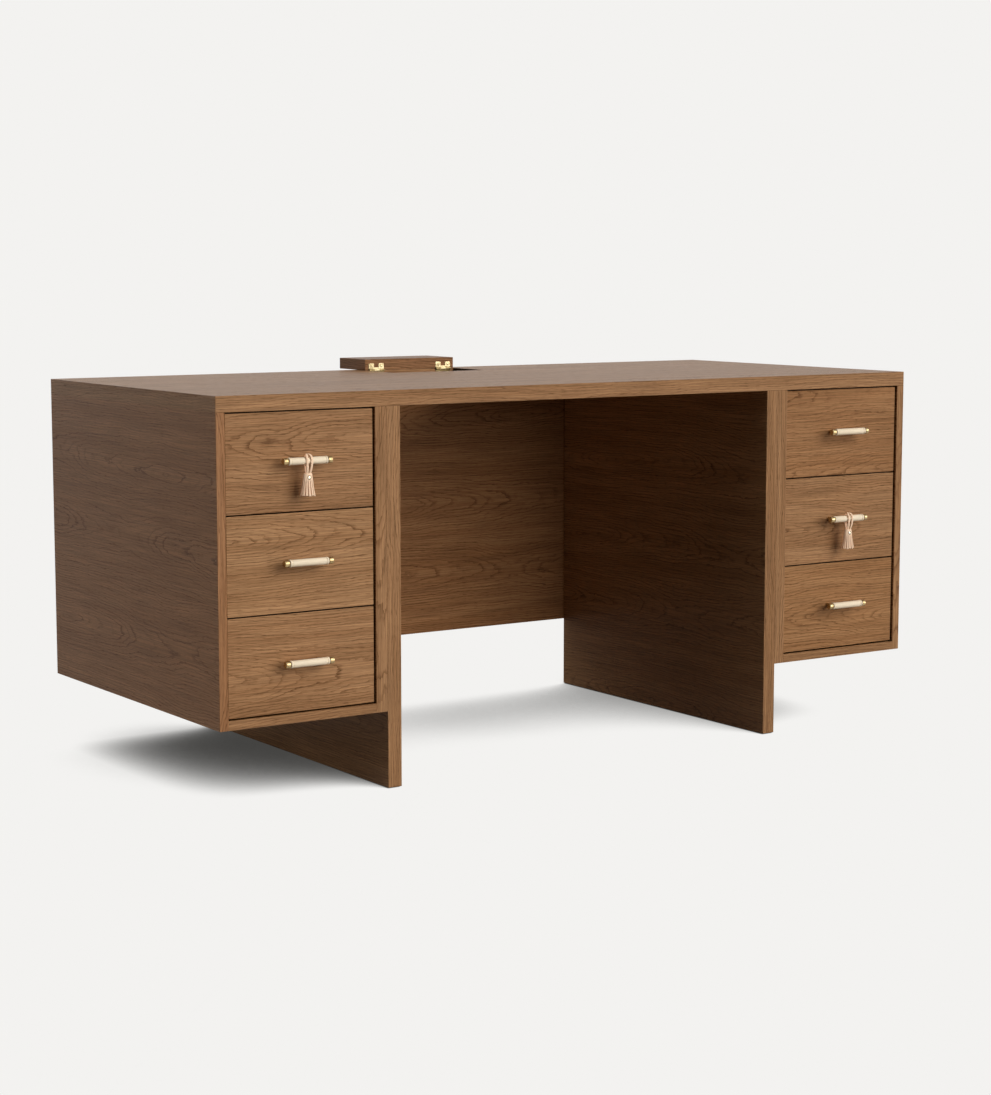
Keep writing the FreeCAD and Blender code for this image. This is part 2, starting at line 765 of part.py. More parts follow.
def make_drawers():
    """Six drawers with their runners and pulls, and a tassel on two of the pulls."""
    front = make_front()
    box = make_box()
    runners = make_runners()
    drawer_runners = group("drawer_runners", runner_pair(runners["drawer"], "drawer_member"))
    middle_runners = group("middle_runners", runner_pair(runners["middle"], "middle_member"))
    pull = make_pull()
    grip = make_grip()
    tassel, stud = make_tassel()
    masters = {
        "drawer_front": front,
        "drawer_box": box,
        "drawer_runners": drawer_runners,
        "middle_runners": middle_runners,
        "pull": pull,
        "pull_grip": grip,
    }
    pieces = []
    cabinet_members = []
    for side, sign in SIDES.items():
        for number, row in enumerate(ROWS):
            at = (f"{sign}pedestal_middle", "face_place", f"row_first - {number} * row_pitch")
            for name, master in masters.items():
                pieces.append(copy(master, f"{side}_{row}_{name}", at))
            cabinet_members += runner_pair(runners["cabinet"], f"{side}_{row}_cabinet_member", at)
            if TASSEL_DRAWERS[side] == row:
                x, y, z = at
                bar = (x, f"{y} - pull_reach", f"{z} + pull_rise")
                pieces.append(copy(tassel, f"{side}_tassel", bar))
                pieces.append(copy(stud, f"{side}_tassel_stud", bar))
    pieces.append(group("cabinet_runners", cabinet_members))
    return pieces


def failed_objects():
    return [item.Label for item in doc.Objects if {"Invalid", "Error"} & set(item.State)]


fill_sheet("Sizes", {name: str(value) for name, value in SIZES.items()})
fill_sheet("Places", {name: f"={formula(text)}" for name, text in PLACES.items()})
doc.recompute()

nodes = make_carcass() + [make_top(), make_lid()] + make_hinges() + make_drawers()
doc.recompute()

if failed_objects():
    raise RuntimeError(f"failed to build: {failed_objects()}")
shapes = {node.Label: Part.getShape(node) for node in nodes}
for label, shape in shapes.items():
    if shape.isNull() or not shape.isValid() or not shape.Solids:
        raise RuntimeError(f"{label} has no valid solid")

os.makedirs("parts", exist_ok=True)
for label, shape in shapes.items():
    shape.exportStep(f"parts/{label}.step")
    print(f"{label}: {len(shape.Solids)} solids, {shape.Volume / 1000:.1f} cm3")
print(f"{len(shapes)} nodes")
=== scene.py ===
"""Looks of a pedestal desk: oak veneer, brass, leather grips and tassels, and a plain studio."""
import json
import math
import random

import bmesh
import bpy
from bpy.props import FloatProperty, FloatVectorProperty, IntProperty, PointerProperty
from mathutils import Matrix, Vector


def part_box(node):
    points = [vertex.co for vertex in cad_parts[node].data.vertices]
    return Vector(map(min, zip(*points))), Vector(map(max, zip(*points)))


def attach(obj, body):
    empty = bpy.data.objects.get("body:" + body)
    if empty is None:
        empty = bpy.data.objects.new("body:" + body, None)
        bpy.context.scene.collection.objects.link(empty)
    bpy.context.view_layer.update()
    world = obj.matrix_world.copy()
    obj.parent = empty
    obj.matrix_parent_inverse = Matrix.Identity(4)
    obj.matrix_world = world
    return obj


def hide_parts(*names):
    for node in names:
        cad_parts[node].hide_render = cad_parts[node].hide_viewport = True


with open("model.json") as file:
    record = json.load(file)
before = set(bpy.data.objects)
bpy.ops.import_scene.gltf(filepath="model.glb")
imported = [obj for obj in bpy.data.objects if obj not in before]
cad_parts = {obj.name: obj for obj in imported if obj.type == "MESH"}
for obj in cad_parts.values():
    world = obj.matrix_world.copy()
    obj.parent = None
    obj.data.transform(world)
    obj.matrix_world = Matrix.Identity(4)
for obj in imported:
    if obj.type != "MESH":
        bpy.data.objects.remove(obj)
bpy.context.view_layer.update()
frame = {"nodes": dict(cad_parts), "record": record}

bl_info = {
    "name": "Pedestal Desk Looks",
    "version": (1, 0, 0),
    "blender": (4, 5, 0),
    "location": "View3D > Sidebar > Desk",
    "description": "Veneer, metal and leather for a pedestal desk, and a studio to see it in",
    "category": "Object",
}

SIDES = ("left", "right")
ROWS = ("top", "middle", "bottom")
DRAWERS = [f"{side}_{row}" for side in SIDES for row in ROWS]
TASSEL_DRAWERS = {"left": "left_top", "right": "right_middle"}

# Which way grain runs on the faces that look along X, Y and Z. Nought takes the first and one takes the
# second direction of each pair: Y or Z, X or Z, X or Y.
LYING = (0, 0, 0)
STANDING = (0, 1, 1)
FRONTAL = (1, 0, 0)
BOX_BOARDS = (0, 0, 1)

WELD = 1e-6

# The cut of each board: its grain, its shift along and across the flitch, and the number of its leaves.
BOARDS = {
    "desk_top": (LYING, 0, 0, 0),
    "left_side_panel": (STANDING, 0, 0, 8),
    "right_side_panel": (STANDING, 0.9, 0.03, 4),
    "left_inner_panel": (STANDING, 0.4, 0.05, 9),
    "right_inner_panel": (STANDING, 1.3, 0.11, 14),
    "left_slab_leg": (STANDING, 2.1, 0.02, 19),
    "right_slab_leg": (STANDING, 2.9, 0.09, 24),
    "left_pedestal_floor": (LYING, 0.7, 0.04, 29),
    "right_pedestal_floor": (LYING, 1.9, 0.07, 34),
    "back_panel": (LYING, 0, 0, 11),
    "cable_lid": (LYING, 1.1, 0, 44),
    "left_top_drawer_front": (FRONTAL, 0, 0, 24),
    "left_middle_drawer_front": (FRONTAL, 0, 0.187, 3),
    "left_bottom_drawer_front": (FRONTAL, 0, 0.374, 18),
    "right_top_drawer_front": (FRONTAL, -1.32, -0.02, 1),
    "right_middle_drawer_front": (FRONTAL, -1.32, 0.187, 25),
    "right_bottom_drawer_front": (FRONTAL, -1.32, 0.394, 22),
}

# Share of the veneer's red, green and blue on some boards. The drawer fronts come from paler and redder
# leaves, and the lid is darker and redder; on the left side panel and the back panel it is painted shade,
# redder and darker as the shaded end and the kneehole are.
TINTS_AND_SHADE = {
    # painted shade of the shaded left end
    "left_side_panel": (1.0, 0.93, 0.92),
    # painted shade of the kneehole
    "back_panel": (0.9, 0.81, 0.73),
    "cable_lid": (0.72, 0.66, 0.63),
    "left_middle_drawer_front": (1.1, 1.12, 1.12),
    "right_top_drawer_front": (0.97, 0.92, 0.86),
    "right_bottom_drawer_front": (0.96, 0.92, 0.85),
}

# Size of each noise's cells in the oak, in metres along and across the grain, and in leaves or boards.
CELLS = {
    "wander": (0.5, 1.37, 1.63),
    "sway": (0.22, 1.37, 1.63),
    "wobble": (0.055, 0.016, 1.0),
    "shiver": (0.012, 0.004, 1.0),
    "pore": (0.016, 0.0012, 1.0),
    "fibre": (0.11, 0.0017, 1.0),
    "broad": (0.6, 0.03, 1.0),
    "streak": (0.16, 0.0026, 1.0),
}

# How the log grew: lengths in metres, shifts of rings in ring widths, and shares of a leaf or a ring.
LOG_LENGTH = 7.0
HEART_SHARE = 0.5
HEART_WANDER = 0.09
HEART_DEPTH = 0.004
SWAY_SHARE = 0.55
WOBBLE_RINGS = 1.6
SHIVER_RINGS = 0.5
LEAF_KEYS = 37.0
LINE_SHARE = 0.42

STREAK_DEPTH = 0.00005

# What the node group of a finish gives: names of sockets by their kind.
FINISH_SOCKETS = {"Color": "Color", "Float": "Roughness, Height"}


def srgb(red, green, blue):
    """A colour as a screen shows it, from 0 to 255, turned to linear light."""
    shares = (value / 255 for value in (red, green, blue))
    return (*(s / 12.92 if s <= 0.04045 else ((s + 0.055) / 1.055) ** 2.4 for s in shares), 1.0)


def colour(name, description, *screen):
    return FloatVectorProperty(
        name=name, description=description, subtype="COLOR", size=4, min=0, max=1, default=srgb(*screen))


def length(name, description, default):
    return FloatProperty(name=name, description=description, unit="LENGTH", min=0, default=default)


def amount(name, description, default):
    return FloatProperty(name=name, description=description, min=0, default=default)


def turn(name, description, degrees):
    return FloatProperty(name=name, description=description, subtype="ANGLE", default=math.radians(degrees))


class DeskVeneer(bpy.types.PropertyGroup):
    """Oak veneer of the carcass, and the plainer timber of the drawer boxes."""

    tone: colour("Tone", "Main colour of the veneer", 158, 116, 79)
    streak: colour("Streak", "Paler streaks between growth rings", 174, 131, 92)
    line: colour("Ring line", "Start of each growth ring", 100, 64, 36)
    pore: colour("Pore", "Open pores along the grain", 78, 50, 29)
    leaf: length("Leaf width", "Width of one veneer leaf", 0.19)
    ring: length("Ring width", "Distance between growth rings", 0.005)
    arch: length("Arch length", "Length of the arches along the grain", 0.55)
    rise: length("Arch rise", "How far rings rise and fall along a leaf", 0.055)
    pore_depth: length("Pore depth", "Depth of the open pores", 0.00012)
    # Reach of the painted shade that darkens and warms narrow gaps
    crevice: length("Crevice reach", "How wide a gap still looks dark inside", 0.012)
    gloss: amount("Gloss", "How much light the oiled surface mirrors", 0.05)
    # Painted shade on the end walls of the cable cut-out, which lie in shade inside it
    cut_out_shade: colour("Cut-out", "Dark stain on the end walls of the cable cut-out", 46, 31, 21)
    box_tone: colour("Box tone", "Main colour of the drawer boxes", 196, 164, 124)
    box_streak: colour("Box streak", "Paler streaks in the drawer boxes", 208, 180, 142)
    box_line: colour("Box ring line", "Growth rings in the drawer boxes", 168, 132, 92)
    box_pore: colour("Box pore", "Pores in the drawer boxes", 146, 110, 74)


class DeskMetal(bpy.types.PropertyGroup):
    """Brass of pulls and hinges, steel of the runners, plastic of the glides."""

    brass: colour("Brass", "Polished brass", 186, 163, 120)
    brass_shade: colour("Brass shade", "Handled and toned brass", 126, 102, 66)
    # Painted highlight: the studs get a brighter brass than the pulls
    stud: colour("Stud brass", "Bright brass of the studs", 250, 240, 214)
    stud_shade: colour("Stud brass shade", "Toned brass of the studs", 214, 196, 150)
    hinge: colour("Hinge brass", "Duller brass of the hinges", 208, 192, 150)
    hinge_shade: colour("Hinge brass shade", "Toned brass of the hinges", 132, 110, 72)
    # Painted shade: a darker copy of the hinge brass for the fixed leaves and the pins, which lie in shade
    knuckle: colour("Knuckle brass", "Darker brass of the fixed leaves and the pins", 150, 130, 90)
    knuckle_shade: colour("Knuckle brass shade", "Toned brass of the fixed leaves", 100, 82, 52)
    # Reach of the painted shade in the hinges' gaps, which darkens the barrel by the lid
    hinge_crevice: length("Hinge crevice", "How wide a gap in a hinge still looks dark", 0.02)
    steel: colour("Steel", "Zinc-plated runner steel", 206, 208, 210)
    steel_shade: colour("Steel shade", "Duller streaks of the plating", 178, 181, 184)
    glide: colour("Glide", "Moulded glide plastic", 62, 50, 42)
    glide_shade: colour("Glide scuff", "Scuffed glide plastic", 84, 70, 60)


class DeskLeather(bpy.types.PropertyGroup):
    """Leather of the grips and tassels."""

    grip: colour("Grip", "Cream grip leather", 254, 236, 208)
    grip_crease: colour("Grip crease", "Creases of the grip leather", 246, 225, 192)
    tassel: colour("Tassel", "Blush tassel leather", 255, 224, 192)
    tassel_crease: colour("Tassel crease", "Creases of the tassel leather", 254, 212, 176)
    # Painted shade: a dark ring on the tassel leather round each stud, and its width
    stud_ring_shade: colour("Punched edge", "Dark edge of the hole that a stud sits in", 78, 50, 30)
    stud_ring_shade_width: length("Punched width", "Width of that dark edge", 0.0012)
    pebble: length("Pebble", "Size of the leather's pebbles", 0.0006)
    pebble_depth: length("Pebble depth", "Depth of the creases between pebbles", 0.00005)
    thread: colour("Thread", "Waxed sewing thread", 226, 205, 172)
    thread_shade: colour("Thread shade", "Worn sewing thread", 206, 182, 148)
    seam_depth: length("Seam depth", "Depth of the sewn seam behind a grip", 0.0005)
    stitch_pitch: length("Stitch pitch", "Distance between stitches", 0.0033)
    thread_radius: length("Thread radius", "Radius of the thread", 0.00032)
    lace_thick: length("Strap thickness", "Thickness of a tassel's strap", 0.0022)
    strip_thick: length("Strip thickness", "Thickness of a tassel's strips", 0.0012)
    collar_width: length("Collar width", "Width of the rolled collar at each end of a grip", 0.004)
    collar_rise: length("Collar rise", "How far a collar stands out from its grip", 0.00035)
    grip_bore: length("Grip bore", "Radius of the hole along a grip", 0.0036)
    strips: IntProperty(name="Strips", description="Strips round a tassel", min=6, max=20, default=14)


class DeskStage(bpy.types.PropertyGroup):
    """Studio round the desk."""

    backdrop: colour("Backdrop", "Pale floor and background", 243, 242, 240)
    shadow: colour("Shadow", "Floor in the deepest shadow", 66, 65, 63)
    bounce: colour("Bounce", "Floor colour that lights the desk from below", 128, 126, 123)
    fill: amount("Fill", "Even light from all round", 0.015)
    key: amount("Key", "Strength of the key light", 3.1)
    key_height: turn("Key height", "Height above the floor", 20)
    key_turn: turn("Key turn", "Turn from the front towards the right end", 22)
    key_spread: turn("Key spread", "Angle that the light fills", 56)
    side: amount("Side", "Strength of the light on the left end", 0.64)
    side_height: turn("Side height", "Height above the floor", 24)
    side_turn: turn("Side turn", "Turn from the front towards the right end", -108)
    side_spread: turn("Side spread", "Angle that the light fills", 60)
    back: amount("Back", "Strength of the light on the back", 0.9)
    back_height: turn("Back height", "Height above the floor", 6)
    back_turn: turn("Back turn", "Turn from the front towards the right end", 180)
    back_spread: turn("Back spread", "Angle that the light fills", 30)
    floor_reach: length("Floor reach", "Half length of the floor", 30)
    shadow_reach: length("Shadow reach", "How far above the floor the desk darkens it", 0.9)
    camera_place: FloatVectorProperty(
        name="Camera place", description="Where the camera stands", subtype="TRANSLATION",
        default=(-2.7494, -4.1623, 1.0047))
    camera_turn: FloatVectorProperty(
        name="Camera turn", description="How the camera is turned", subtype="EULER",
        default=(math.radians(83.005), 0, math.radians(-33.683)))
    camera_lens: amount("Lens", "Focal length in millimetres on a 36 mm sensor", 77.14)


class Nodes:
    """Adds shader nodes to a tree, and fills their sockets as they are made."""

    STEP = 180

    def __init__(self, tree):
        self.tree = tree

    def add(self, kind, inputs, out=0, **settings):
        node = self.tree.nodes.new(f"ShaderNode{kind}")
        node.location.x = self.STEP * len(self.tree.nodes)
        for option, value in settings.items():
            setattr(node, option, value)
        self.fill(node.inputs, inputs)
        return node.outputs[out]

    def fill(self, sockets, values):
        """Link or set sockets by their names."""
        for name, value in values.items():
            if isinstance(value, bpy.types.NodeSocket):
                self.tree.links.new(value, sockets[name])
            else:
                sockets[name].default_value = value

    def group(self, name, inputs):
        """Place a node group and return its outputs."""
        return self.add("Group", inputs, node_tree=bpy.data.node_groups[name]).node.outputs

    def math(self, operation, *values):
        return self.add("Math", dict(enumerate(values)), operation=operation)

    def vector(self, operation, *values):
        return self.add("VectorMath", dict(enumerate(values)), operation=operation)

    def split(self, vector):
        return self.add("SeparateXYZ", {"Vector": vector}).node.outputs

    def join(self, *values):
        return self.add("CombineXYZ", dict(enumerate(values)))

    def between(self, share, first, second):
        """A number between two numbers."""
        return self.add("Mix", {0: share, 2: first, 3: second}, data_type="FLOAT")

    def between_places(self, share, first, second):
        return self.add("Mix", {0: share, 4: first, 5: second}, out=1, data_type="VECTOR")

    def blend(self, share, first, second):
        """A colour between two colours."""
        return self.add("Mix", {0: share, 6: first, 7: second}, out=2, data_type="RGBA")

    def ramp(self, value, low, high, low_gives=0.0, high_gives=1.0):
        """A smooth step from one value to another."""
        inputs = {
            "Value": value, "From Min": low, "From Max": high, "To Min": low_gives, "To Max": high_gives}
        return self.add("MapRange", inputs, interpolation_type="SMOOTHSTEP")

    def noise(self, place, cell, detail=2.0):
        """Soft noise whose cells have a size of their own along each axis."""
        scaled = self.vector("DIVIDE", place, cell)
        return self.add("TexNoise", {"Vector": scaled, "Scale": 1, "Detail": detail})

    def drift(self, place, cell):
        """Noise that lies about nought."""
        return self.math("SUBTRACT", self.noise(place, cell), 0.5)

    def bump(self, height, depth, strength=1.0):
        return self.add("Bump", {"Height": height, "Strength": strength, "Distance": depth})

    def chance(self, first, second):
        """Three random numbers for a pair of numbers."""
        place = self.join(first, second, 0)
        picked = self.add("TexWhiteNoise", {"Vector": place}, out="Color", noise_dimensions="2D")
        return self.split(picked)


def new_group(name, inputs, outputs):
    """Start a shader node group whose sockets are named by their kind."""
    tree = bpy.data.node_groups.new(name, "ShaderNodeTree")
    for direction, sockets in (("INPUT", inputs), ("OUTPUT", outputs)):
        for kind, names in sockets.items():
            for socket in names.split(", "):
                tree.interface.new_socket(name=socket, in_out=direction, socket_type=f"NodeSocket{kind}")
    entry = tree.nodes.new("NodeGroupInput").outputs
    leave = tree.nodes.new("NodeGroupOutput").inputs
    return Nodes(tree), entry, leave


def new_material(name):
    """Start a material that has its own Principled shader."""
    material = bpy.data.materials.new(name)
    material.use_nodes = True
    shader = material.node_tree.nodes["Principled BSDF"]
    return material, Nodes(material.node_tree), shader.inputs


def own_place(nodes):
    """A piece's own coordinates, which move with it."""
    return nodes.add("TexCoord", {}, out="Object")


def build_board_grain():
    """Node group that finds a place in a board's veneer: along the grain, across it, and its leaf."""
    nodes, entry, leave = new_group(
        "board_grain", {"Vector": "Place, Normal, Cut", "Float": "X Faces, Y Faces, Z Faces"},
        {"Vector": "Grain"})
    x, y, z = nodes.split(entry["Place"])
    looks = nodes.split(nodes.vector("ABSOLUTE", entry["Normal"]))
    runs = []
    for faces, first, second in (("X Faces", y, z), ("Y Faces", x, z), ("Z Faces", x, y)):
        along = nodes.between(entry[faces], first, second)
        across = nodes.between(entry[faces], second, first)
        runs.append(nodes.join(along, across, len(runs)))
    grain = runs[2]
    for run, look in zip(runs, looks[:2]):
        is_face = nodes.math("GREATER_THAN", look, math.sqrt(0.5))
        grain = nodes.between_places(is_face, grain, run)
    nodes.fill(leave, {"Grain": nodes.vector("ADD", grain, entry["Cut"])})


def build_oak_figure():
    """Node group of flat-cut oak: growth rings that arch along each leaf, with fibres and pores."""
    nodes, entry, leave = new_group(
        "oak_figure",
        {"Vector": "Grain", "Float": "Leaf, Ring, Arch, Rise", "Color": "Tone, Streak, Line, Pore"},
        FINISH_SOCKETS)
    grain = entry["Grain"]
    along, across, key = nodes.split(grain)

    # Each leaf has its own heart line, and starts elsewhere along the log.
    leaf_place = nodes.math("DIVIDE", across, entry["Leaf"])
    leaf = nodes.math("FLOOR", leaf_place)
    heart_chance, start_chance, tone_chance = nodes.chance(leaf, key)
    off_middle = nodes.math("SUBTRACT", nodes.math("FRACT", leaf_place), 0.5)
    heart = nodes.math("MULTIPLY", nodes.math("SUBTRACT", heart_chance, 0.5), HEART_SHARE)
    off_heart = nodes.math("MULTIPLY", nodes.math("SUBTRACT", off_middle, heart), entry["Leaf"])
    leaf_along = nodes.math("MULTIPLY_ADD", start_chance, LOG_LENGTH, along)
    in_log = nodes.join(leaf_along, leaf, key)
    wander = nodes.drift(in_log, CELLS["wander"])
    off_heart = nodes.math("MULTIPLY_ADD", wander, HEART_WANDER, off_heart)

    # Rings are round in the log, which tapers and swells, so they arch on the flat face.
    sway = nodes.noise(in_log, CELLS["sway"])
    taper = nodes.math("MULTIPLY_ADD", sway, SWAY_SHARE, nodes.math("DIVIDE", leaf_along, entry["Arch"]))
    taper = nodes.math("PINGPONG", taper, 1.0)
    swell = nodes.math("MULTIPLY_ADD", nodes.math("POWER", taper, 4.0), -0.1, taper)
    depth = nodes.math("MULTIPLY_ADD", swell, entry["Rise"], HEART_DEPTH)
    squared = nodes.math("MULTIPLY_ADD", off_heart, off_heart, nodes.math("MULTIPLY", depth, depth))
    rings = nodes.math("DIVIDE", nodes.math("SQRT", squared), entry["Ring"])
    rings = nodes.math("MULTIPLY_ADD", nodes.drift(grain, CELLS["wobble"]), WOBBLE_RINGS, rings)
    rings = nodes.math("MULTIPLY_ADD", nodes.drift(grain, CELLS["shiver"]), SHIVER_RINGS, rings)
    within = nodes.math("FRACT", rings)
    ring_key = nodes.math("MULTIPLY_ADD", leaf, LEAF_KEYS, key)
    strength, _, _ = nodes.chance(nodes.math("FLOOR", rings), ring_key)
    line = nodes.math(
        "MULTIPLY", nodes.ramp(within, 0.0, LINE_SHARE, 1.0, 0.0), nodes.between(strength, 0.25, 1.0))

    # Pores crowd into the start of each ring. Fibres and broad streaks run through them all.
    pores = nodes.math(
        "MULTIPLY", nodes.ramp(nodes.noise(grain, CELLS["pore"], detail=0.0), 0.55, 0.68),
        nodes.between(line, 0.25, 1.0))
    fibre = nodes.noise(grain, CELLS["fibre"])
    broad = nodes.noise(grain, CELLS["broad"])
    streak = nodes.ramp(nodes.noise(grain, CELLS["streak"]), 0.3, 0.7, 0.8, 1.18)
    wood = nodes.blend(nodes.ramp(broad, 0.3, 0.7), entry["Tone"], entry["Streak"])
    wood = nodes.blend(nodes.ramp(fibre, 0.42, 0.75, 0.0, 0.48), wood, entry["Line"])
    wood = nodes.blend(nodes.math("MULTIPLY", line, 0.72), wood, entry["Line"])
    wood = nodes.blend(nodes.math("MULTIPLY", pores, 0.76), wood, entry["Pore"])
    value = nodes.math("MULTIPLY", nodes.between(tone_chance, 0.95, 1.05), streak)
    nodes.fill(leave, {
        "Color": nodes.add("HueSaturation", {"Value": value, "Color": wood}),
        "Roughness": nodes.math("MULTIPLY_ADD", fibre, 0.1, nodes.between(pores, 0.3, 0.55)),
        "Height": nodes.math("MULTIPLY_ADD", line, -0.2, nodes.math("MULTIPLY", pores, -0.8)),
    })


def build_crevice_shade():
    """Node group of painted shade, which darkens and warms a finish inside narrow gaps."""
    nodes, entry, leave = new_group(
        "crevice_shade", {"Color": "Color", "Float": "Reach"}, {"Color": "Color"})
    opened = nodes.add("AmbientOcclusion", {"Distance": entry["Reach"]}, out="AO", samples=8)
    gap = (opened, 0.1, 0.75)
    warmed = nodes.add("HueSaturation", {
        "Saturation": nodes.ramp(*gap, 1.25, 1.0), "Value": nodes.ramp(*gap, 0.1, 1.0),
        "Color": entry["Color"]})
    nodes.fill(leave, {"Color": warmed})


def build_leather_grain():
    """Node group of pebbled leather with soft mottling."""
    nodes, entry, leave = new_group(
        "leather_grain", {"Vector": "Place", "Float": "Pebble", "Color": "Main, Crease"}, FINISH_SOCKETS)
    scaled = nodes.vector("DIVIDE", entry["Place"], nodes.join(*[entry["Pebble"]] * 3))
    edge = nodes.add("TexVoronoi", {"Vector": scaled, "Scale": 1}, feature="DISTANCE_TO_EDGE")
    pebble = nodes.ramp(edge, 0.0, 0.3)
    mottle = nodes.add("TexNoise", {"Vector": scaled, "Scale": 0.12, "Detail": 3})
    shade = nodes.math(
        "MULTIPLY", nodes.between(pebble, 0.35, 1.0), nodes.ramp(mottle, 0.2, 0.7, 0.55, 1.0))
    nodes.fill(leave, {
        "Color": nodes.blend(shade, entry["Crease"], entry["Main"]),
        "Roughness": nodes.between(pebble, 0.68, 0.5),
        "Height": pebble,
    })


def build_handled_finish():
    """Node group of a smooth finish with streaks and smudges from handling."""
    nodes, entry, leave = new_group(
        "handled_finish",
        {"Vector": "Place, Streak", "Color": "Main, Shade", "Float": "Smooth, Dull"}, FINISH_SOCKETS)
    streak = nodes.noise(entry["Place"], entry["Streak"])
    smudge = nodes.add("TexNoise", {"Vector": entry["Place"], "Scale": 60, "Detail": 3})
    mark = nodes.math("MULTIPLY", nodes.ramp(streak, 0.35, 0.7), nodes.ramp(smudge, 0.3, 0.7, 0.4, 1.0))
    nodes.fill(leave, {
        "Color": nodes.blend(mark, entry["Main"], entry["Shade"]),
        "Roughness": nodes.between(mark, entry["Smooth"], entry["Dull"]),
        "Height": streak,
    })


def board_material(name, cut, colours, veneer):
    """Timber for one board, with its grain turned and shifted as the board was cut."""
    runs, along, across, key = cut
    material, nodes, shader = new_material(name)
    grain = nodes.group("board_grain", {
        "Place": own_place(nodes),
        "Normal": nodes.add("TexCoord", {}, out="Normal"),
        **dict(zip(("X Faces", "Y Faces", "Z Faces"), runs)),
        "Cut": (along, across, key),
    })
    oak = nodes.group("oak_figure", {
        "Grain": grain["Grain"],
        "Leaf": veneer.leaf,
        "Ring": veneer.ring,
        "Arch": veneer.arch,
        "Rise": veneer.rise,
        **dict(zip(("Tone", "Streak", "Line", "Pore"), colours)),
    })
    # Painted shade darkens and warms the veneer in narrow gaps.
    wood = nodes.group("crevice_shade", {"Color": oak["Color"], "Reach": veneer.crevice})
    nodes.fill(shader, {
        "Base Color": wood["Color"],
        "Roughness": oak["Roughness"],
        "Normal": nodes.bump(oak["Height"], veneer.pore_depth),
        "Specular IOR Level": veneer.gloss,
    })
    return material


def leather_material(name, leather, kind):
    """Leather in one of the settings' colours and its crease colour."""
    material, nodes, shader = new_material(name)
    hide = nodes.group("leather_grain", {
        "Place": own_place(nodes), "Pebble": leather.pebble, "Main": getattr(leather, kind),
        "Crease": getattr(leather, f"{kind}_crease")})
    nodes.fill(shader, {
        "Base Color": hide["Color"],
        "Roughness": hide["Roughness"],
        "Normal": nodes.bump(hide["Height"], leather.pebble_depth, strength=0.6),
        "Sheen Weight": 0.05,
        "Specular IOR Level": 0.3,
    })
    return material


def paint_over(nodes, share, shown):
    """Lay another colour over a share of a finished material."""
    shader = nodes.tree.nodes["Principled BSDF"].inputs
    under = shader["Base Color"].links[0].from_socket
    nodes.fill(shader, {"Base Color": nodes.blend(share, under, shown)})


def paint_stud_shade_ring(material, stud, leather):
    """Paint shade on the leather in a ring round a stud."""
    nodes = Nodes(material.node_tree)
    low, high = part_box(stud)
    radius = (high.x - low.x) / 2
    from_middle = nodes.vector("SUBTRACT", own_place(nodes), (low + high) / 2)
    off_axis = nodes.vector("MULTIPLY", from_middle, (1, 0, 1))
    reach = nodes.add("VectorMath", {0: off_axis}, out="Value", operation="LENGTH")
    width = leather.stud_ring_shade_width
    # Painted shade: a dark ring round the stud
    ring_shade = nodes.ramp(reach, radius + 0.5 * width, radius + width, 1.0, 0.0)
    paint_over(nodes, ring_shade, leather.stud_ring_shade)


def handled_material(name, settings, kind, streak, roughness, metallic=1, crevice=0):
    """Metal, plastic or thread. Its streaks have a size along each axis; shade may be painted in its gaps.
    """
    smooth, dull = roughness
    material, nodes, shader = new_material(name)
    worn = nodes.group("handled_finish", {
        "Place": own_place(nodes), "Streak": streak, "Main": getattr(settings, kind),
        "Shade": getattr(settings, f"{kind}_shade"), "Smooth": smooth, "Dull": dull})
    shown = worn["Color"]
    # Painted shade in narrow gaps
    if crevice:
        shown = nodes.group("crevice_shade", {"Color": shown, "Reach": crevice})["Color"]
    nodes.fill(shader, {
        "Base Color": shown,
        "Roughness": worn["Roughness"],
        "Normal": nodes.bump(worn["Height"], STREAK_DEPTH, strength=0.2),
        "Metallic": metallic,
    })
    return material


def finish(material, *nodes):
    """Give CAD nodes another material."""
    for node in nodes:
        for slot in frame["nodes"][node].material_slots:
            slot.material = material


